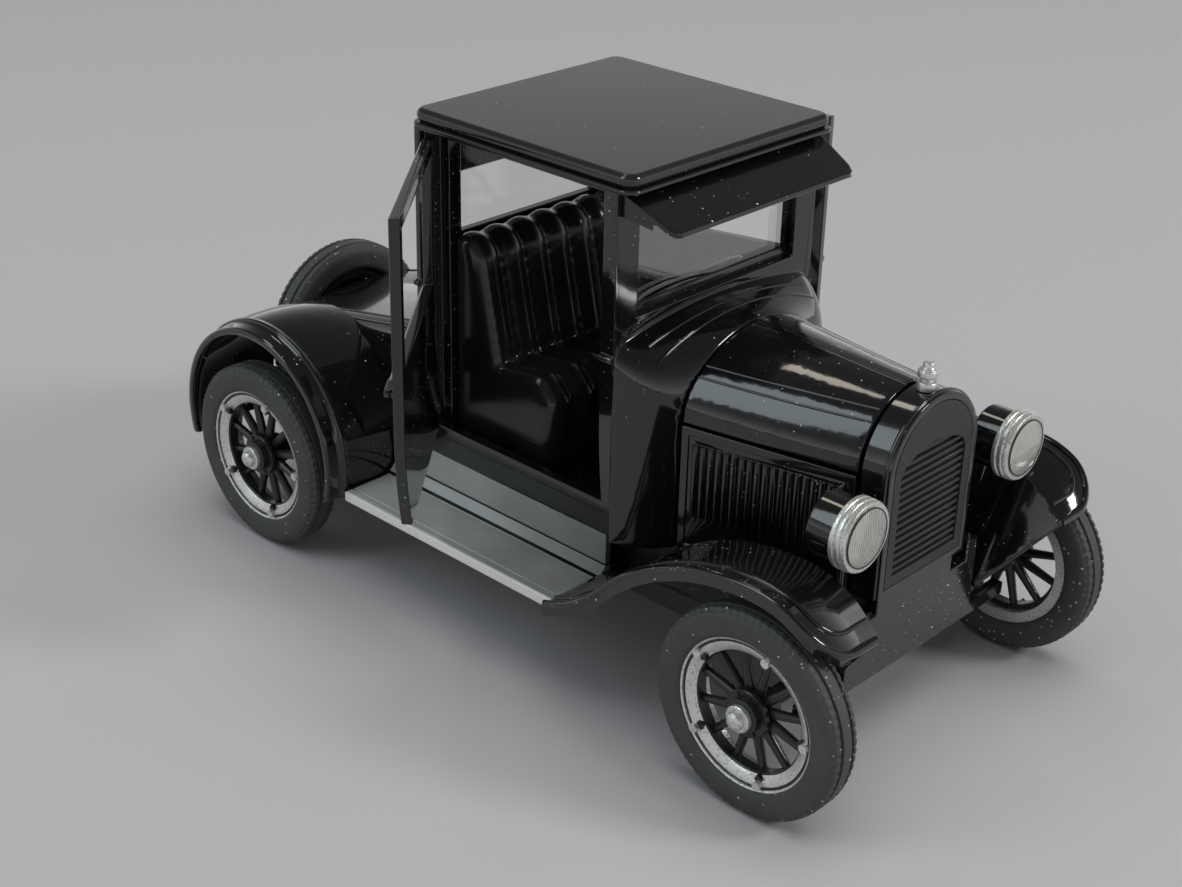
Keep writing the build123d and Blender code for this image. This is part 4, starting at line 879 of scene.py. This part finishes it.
class COUPE_OT_wheels(CoupeStep):
    """Turn the rims, spokes and hubs, and set the rings of lugs and bolts"""

    bl_idname = "coupe.wheels"
    bl_label = "Wheels"

    # Rim section in millimetres: out from the rim's outer face, and in from its outer radius
    rim_section = (
        (-0.25, 0.0), (0.0, 0.1), (0.12, 0.28), (0.02, 0.48), (-0.4, 0.52), (-0.4, 0.78), (-0.1, 0.82),
        (-0.18, 1.25), (-0.65, 1.95), (-0.8, 1.5),
    )
    # Felloe, painted groove shade and hub sections in millimetres: out from the wheel's middle, and
    # radius. The groove shade is a black ring in the rim's groove that darkens it as painted shade
    felloe_section = ((0.9, 6.95), (0.8, 6.85), (-0.4, 6.85), (-0.5, 6.95), (-0.5, 7.6), (0.9, 7.6))
    line_section = ((1.42, 8.18), (1.42, 8.52), (1.1, 8.52), (1.1, 8.18))
    hub_section = (
        (-2.2, 0.0), (-2.2, 1.7), (-2.0, 2.0), (0.75, 2.0), (0.75, 2.65), (0.85, 2.75), (1.3, 2.75),
        (1.4, 2.65), (1.4, 2.0), (2.1, 2.0), (2.2, 1.8), (2.2, 0.0),
    )
    # Hub cap section as shares of its length and radius: collar, neck and round end
    cap_section = (
        (0.0, 0.0), (0.0, 0.86), (0.05, 0.9), (0.36, 0.9), (0.42, 0.84), (0.44, 0.64), (0.66, 0.62),
        (0.82, 0.54), (0.94, 0.34), (1.0, 0.0),
    )
    spoke_ends = (1.7, 7.2)
    # Ring radius and face, out from the wheel's middle, of lugs, painted lug shadows and bolts in
    # millimetres
    lug_place = (7.95, 1.6)
    lug_shadow_place = (7.3, 1.1)
    bolt_place = (2.35, 1.45)
    rim_steps, cap_steps, hub_steps, spoke_sides = 120, 40, 96, 16

    def execute(self, context):
        finish = paints(context)
        sizes = context.scene.coupe_sizes
        black, silver = finish["wheel_black"], finish["silver_paint"]
        for axle in AXLES:
            body = f"{axle}_wheels"
            for side, way in SIDES:
                node = f"{axle}_wheel_{side}"
                out = (0, way, 0)
                mesh = to_mesh(self.wheel(middle(f"{axle}_rim_{side}"), out, sizes), "spoked_" + node)
                keep(mesh, body, black, [node])
                self.rim(f"{axle}_rim_{side}", out, silver, "silver_paint")
                self.cap(f"{axle}_hub_cap_{side}", way, silver)
        self.rim("spare_rim", (1, 0, 0), black, "wheel_black")
        # Name, count, place, radius, height, sides and finish of each ring
        rings = (
            # Painted shadow: a dark four-sided clip beside each lug, standing for its shadow
            ("lug_shadows", sizes.lug_count, self.lug_shadow_place, sizes.lug_shadow_r, sizes.lug_h, 4, "wheel_black"),
            ("lugs", sizes.lug_count, self.lug_place, sizes.lug_r, sizes.lug_h, 20, "silver_paint"),
            ("bolts", sizes.bolt_count, self.bolt_place, sizes.bolt_r, sizes.bolt_h, 6, "wheel_black"),
        )
        tree = ring_tree()
        for axle in AXLES:
            for name, number, (ring, face), radius, height, sides, paint in rings:
                values = {
                    "Count": number,
                    "Ring radius": ring * MM,
                    "Bolt radius": radius,
                    "Bolt height": height,
                    "Sides": sides,
                    "Right face": middle(f"{axle}_rim_right") - Vector((0, face * MM, 0)),
                    "Left face": middle(f"{axle}_rim_left") + Vector((0, face * MM, 0)),
                    "Finish": finish[paint],
                }
                mesh = grown(f"{axle}_{name}", tree, values)
                keep(mesh, f"{axle}_wheels", finish[paint])
        return {"FINISHED"}

    def rim(self, node, out, finish, slot):
        """A stepped rim with a rolled lip and a dished inner edge."""
        box = size(node)
        half = min(box) / 2
        radius = max(box) / 2
        front = [(half + along * MM, radius - inward * MM) for along, inward in self.rim_section]
        rows = [(-half, radius), *front, (-half, front[-1][1])]
        mesh = to_mesh(lathe(rows, middle(node), out, self.rim_steps), "turned_" + node)
        keep(mesh, body_of_node(node), finish, [node])

    def cap(self, node, way, finish):
        """A hub cap turned from its collar to its round end."""
        low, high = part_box(node)
        foot = middle(node)
        foot.y = low.y if way > 0 else high.y
        reach, radius = high.y - low.y, (high.z - low.z) / 2
        rows = [(along * reach, share * radius) for along, share in self.cap_section]
        mesh = to_mesh(lathe(rows, foot, (0, way, 0), self.cap_steps, ring=False), "turned_" + node)
        keep(mesh, body_of_node(node), finish, [node])

    def wheel(self, centre, out, sizes):
        """Felloe, the black ring of painted shade in the rim's groove, hub and tapering spokes of one
        wheel.
        """
        form = bmesh.new()
        for section in (self.felloe_section, self.line_section, self.hub_section):
            rows = [(along * MM, radius * MM) for along, radius in section]
            lathe(rows, centre, out, self.hub_steps, ring=section[0][1] > 0, form=form)
        near, far = (end * MM for end in self.spoke_ends)
        for spoke in range(sizes.spoke_count):
            turn = 2 * pi * (spoke + 0.5) / sizes.spoke_count
            way = Vector((cos(turn), 0, sin(turn)))
            place = Matrix.Translation(centre + way * (near + far) / 2)
            bmesh.ops.create_cone(
                form,
                cap_ends=True,
                segments=self.spoke_sides,
                radius1=sizes.spoke_root,
                radius2=sizes.spoke_tip,
                depth=far - near,
                matrix=place @ way.to_track_quat("Z", "Y").to_matrix().to_4x4(),
            )
        return form


class COUPE_OT_tyres(CoupeStep):
    """Turn the tyres with ribbed treads and notched shoulders"""

    bl_idname = "coupe.tyres"
    bl_label = "Tyres"

    # Side from bead to shoulder: share of the half width, share of the wall's height
    wall = (
        (0.70, -0.09), (0.84, -0.08), (0.92, -0.03), (0.975, 0.1), (1.0, 0.32), (1.0, 0.55), (0.985, 0.70),
        (0.955, 0.74), (0.93, 0.80),
    )
    # Notched rib, groove and middle rib: share of the half width, share of the groove's depth
    tread = ((0.86, 1.6), (0.76, 0.4), (0.52, 0.0), (0.48, 1.0), (0.34, 1.0), (0.30, 0.0))
    notched_rows = 3
    notch_steps, notch_cut = 6, 2  # steps round the tyre for each notch, and those that are cut

    def execute(self, context):
        rubber = paints(context)["tyre_rubber"]
        nodes = [f"{axle}_tyre_{side}" for axle in AXLES for side, _way in SIDES]
        for node in nodes + ["spare_tyre"]:
            box = size(node)
            out = (0, 1, 0) if box.y < box.x else (1, 0, 0)
            form = self.tyre(middle(node), out, context.scene.coupe_sizes)
            mesh = to_mesh(form, "dressed_" + node, BEAD_CREASE)
            keep(mesh, body_of_node(node), rubber, [node])
        return {"FINISHED"}

    def tyre(self, centre, out, sizes):
        """One tyre: flat walls, a notched rib on each shoulder, two grooves and a middle rib."""
        half = TYRE_W / 2
        rise = TYRE_R - RIM_R
        outer = [(half * share, RIM_R + rise * height) for share, height in self.wall]
        first = len(outer)
        outer += [(half * share, TYRE_R - sizes.groove * depth) for share, depth in self.tread]
        rows = outer + [(-along, radius) for along, radius in reversed(outer)]

        def notch(row, step):
            slant = min(row, len(rows) - 1 - row)
            if not first <= slant < first + self.notched_rows:
                return 0
            return -sizes.notch if (step + slant) % self.notch_steps < self.notch_cut else 0

        return lathe(rows, centre, out, self.notch_steps * sizes.notch_count, change=notch)


class COUPE_OT_lamps(CoupeStep):
    """Set a bulging ribbed lens on each head lamp's ring"""

    bl_idname = "coupe.lamps"
    bl_label = "Head lamps"

    dome_steps, turn_steps = 16, 72

    def execute(self, context):
        finish = paints(context)
        sizes = context.scene.coupe_sizes
        dome = [i / self.dome_steps for i in range(self.dome_steps + 1)]
        for side, _way in SIDES:
            node = f"lamp_lens_{side}"
            radius = size(node).z / 2 + sizes.lens_lap
            face = middle(node)
            face.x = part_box(f"lamp_bezel_{side}")[1].x
            rows = [(HAIR + sizes.lens_rise * (1 - share**2), radius * share) for share in dome]
            rows += [(-HAIR, radius), (-HAIR, 0)]
            mesh = to_mesh(lathe(rows, face, (1, 0, 0), self.turn_steps, ring=False), f"ribbed_{node}")
            keep(mesh, "car_body", finish["lamp_lens"], [node])
            line = sizes.lens_line
            rows = [(-line, radius), (line, radius), (line, radius + line), (-line, radius + line)]
            mesh = to_mesh(lathe(rows, face, (1, 0, 0), self.turn_steps), f"gasket_{side}")
            keep(mesh, "car_body", finish["seat_black"])
        return {"FINISHED"}


class COUPE_OT_screen(CoupeStep):
    """Frame the windscreen glass"""

    bl_idname = "coupe.screen"
    bl_label = "Windscreen frame"

    def execute(self, context):
        sizes = context.scene.coupe_sizes
        bar, depth = sizes.frame_bar, sizes.frame_depth
        low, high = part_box("windscreen")
        form = bmesh.new()
        # Bars as low and high corners across and up the glass
        bars = (
            ((low.y, low.z), (high.y, low.z + bar)),
            ((low.y, high.z - bar), (high.y, high.z)),
            ((low.y, low.z + bar), (low.y + bar, high.z - bar)),
            ((high.y - bar, low.z + bar), (high.y, high.z - bar)),
        )
        for (y0, z0), (y1, z1) in bars:
            place = Matrix.Translation((high.x + depth / 2, (y0 + y1) / 2, (z0 + z1) / 2))
            spread = Matrix.Diagonal((depth, y1 - y0, z1 - z0, 1.0))
            bmesh.ops.create_cube(form, size=1.0, matrix=place @ spread)
        black = paints(context)["gloss_black"]
        keep(to_mesh(form, "screen_frame"), "car_body", black)
        return {"FINISHED"}


class COUPE_OT_stage(CoupeStep):
    """Set the pale floor, the soft lights and the camera"""

    bl_idname = "coupe.stage"
    bl_label = "Stage"

    # Name, where it stands from the car's middle in metres, width, height, watts, colour, seen in gloss
    lamps = (
        ("overhead", (0.25, 0.05, 1.50), 1.60, 1.40, 19.0, (1.0, 0.99, 0.98), False),
        ("window", (-0.33, -0.60, 0.58), 0.36, 0.66, 1.9, (0.82, 0.94, 1.0), True),
        ("ceiling", (-0.41, 0.13, 0.78), 0.12, 0.20, 0.35, (1.0, 0.90, 0.76), True),
        ("right_box", (0.95, 0.50, 0.70), 0.26, 0.26, 6.0, (1.0, 0.98, 0.95), True),
    )
    # Camera place in car millimetres and its axes, from the wheels, roof, board and lamps in the photo
    eye = (182.0, -156.0, 124.8)
    right = (0.72073, 0.69289, 0.02139)
    up = (-0.32364, 0.30904, 0.89429)
    back = (0.61304, -0.65147, 0.44698)

    def execute(self, context):
        stage = context.scene.coupe_stage
        self.make_floor(context, stage)
        aim = (Vector(CAD_BOX[0]) + Vector(CAD_BOX[1])) / 2
        for name, place, width, height, watts, tint, seen in self.lamps:
            lamp = self.make_lamp(context, name, aim, Vector(place), (width, height), watts, tint)
            lamp.visible_glossy = seen
        self.make_world(context, stage)
        self.make_camera(context, stage)
        context.scene.view_settings.view_transform = "Standard"
        return {"FINISHED"}

    @staticmethod
    def make_world(context, stage):
        """Light from all round, brighter at the horizon, with an even level where the camera sees it."""
        world = bpy.data.worlds.new("studio")
        world.use_nodes = True
        graph = Graph(world.node_tree)
        way = graph.add("ShaderNodeTexCoord", output="Generated")
        height = graph.add("ShaderNodeSeparateXYZ", None, {"Vector": way}, "Z")
        low = 1 - height.most(0.0)
        seen = graph.add("ShaderNodeLightPath", output="Is Camera Ray")
        steep = low * low
        light = stage.sky + steep * steep * stage.glow
        sockets = {"Color": rgba(stage.air), "Strength": light + seen * (stage.backdrop - light)}
        backing = graph.add("ShaderNodeBackground", None, sockets)
        graph.add("ShaderNodeOutputWorld", None, {"Surface": backing})
        context.scene.world = world

    @staticmethod
    def make_floor(context, stage):
        """One large pale square under the tyres."""
        form = bmesh.new()
        bmesh.ops.create_grid(form, x_segments=1, y_segments=1, size=stage.floor_side / 2)
        mesh = bpy.data.meshes.new("floor")
        form.to_mesh(mesh)
        form.free()
        floor = bpy.data.objects.new("floor", mesh)
        context.scene.collection.objects.link(floor)
        made, graph = material("floor_paper")
        surface(graph, {"Base Color": rgba(stage.floor), "Roughness": 0.75})
        mesh.materials.append(made)

    @staticmethod
    def make_lamp(context, name, aim, place, spread, watts, tint):
        """A soft rectangular lamp that looks at the car's middle."""
        light = bpy.data.lights.new(name, "AREA")
        light.shape = "RECTANGLE"
        light.size, light.size_y = spread
        light.energy = watts
        light.color = tint
        lamp = bpy.data.objects.new(name, light)
        lamp.location = aim + place
        lamp.rotation_mode = "QUATERNION"
        lamp.rotation_quaternion = (-place).to_track_quat("-Z", "Y")
        context.scene.collection.objects.link(lamp)
        return lamp

    def make_camera(self, context, stage):
        """The camera at the photo's place and angle."""
        data = bpy.data.cameras.new("photo_view")
        data.sensor_width = 36.0
        data.lens = stage.focal
        data.clip_start = 0.005
        data.clip_end = 10.0
        camera = bpy.data.objects.new("photo_view", data)
        turn = Matrix((self.right, self.up, self.back)).transposed()
        camera.matrix_world = Matrix.Translation(car(*self.eye)) @ turn.to_4x4()
        context.scene.collection.objects.link(camera)
        context.scene.camera = camera


STEPS = (
    COUPE_OT_stage,
    COUPE_OT_panels,
    COUPE_OT_beads,
    COUPE_OT_seat,
    COUPE_OT_wheels,
    COUPE_OT_tyres,
    COUPE_OT_lamps,
    COUPE_OT_screen,
)


class COUPE_PT_panel(bpy.types.Panel):
    """Sidebar list of the dressing steps and their settings"""

    bl_idname = "COUPE_PT_panel"
    bl_label = "Die-cast coupe"
    bl_space_type = "VIEW_3D"
    bl_region_type = "UI"
    bl_category = "Coupe"

    def draw(self, context):
        for step in STEPS:
            self.layout.operator(step.bl_idname)
        for group in (context.scene.coupe_colours, context.scene.coupe_sizes, context.scene.coupe_stage):
            for name in group.__annotations__:
                self.layout.prop(group, name)


GROUPS = {"coupe_colours": CoupeColours, "coupe_sizes": CoupeSizes, "coupe_stage": CoupeStage}


def register():
    for name, group in GROUPS.items():
        bpy.utils.register_class(group)
        setattr(bpy.types.Scene, name, PointerProperty(type=group))
    for step in (*STEPS, COUPE_PT_panel):
        bpy.utils.register_class(step)


def unregister():
    for step in reversed((*STEPS, COUPE_PT_panel)):
        bpy.utils.unregister_class(step)
    for name, group in GROUPS.items():
        delattr(bpy.types.Scene, name)
        bpy.utils.unregister_class(group)


def main():
    """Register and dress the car."""
    register()
    bpy.ops.coupe.stage()
    bpy.ops.coupe.panels()
    bpy.ops.coupe.beads()
    bpy.ops.coupe.seat()
    bpy.ops.coupe.wheels()
    bpy.ops.coupe.tyres()
    bpy.ops.coupe.lamps()
    bpy.ops.coupe.screen()


if __name__ == "__main__":
    main()
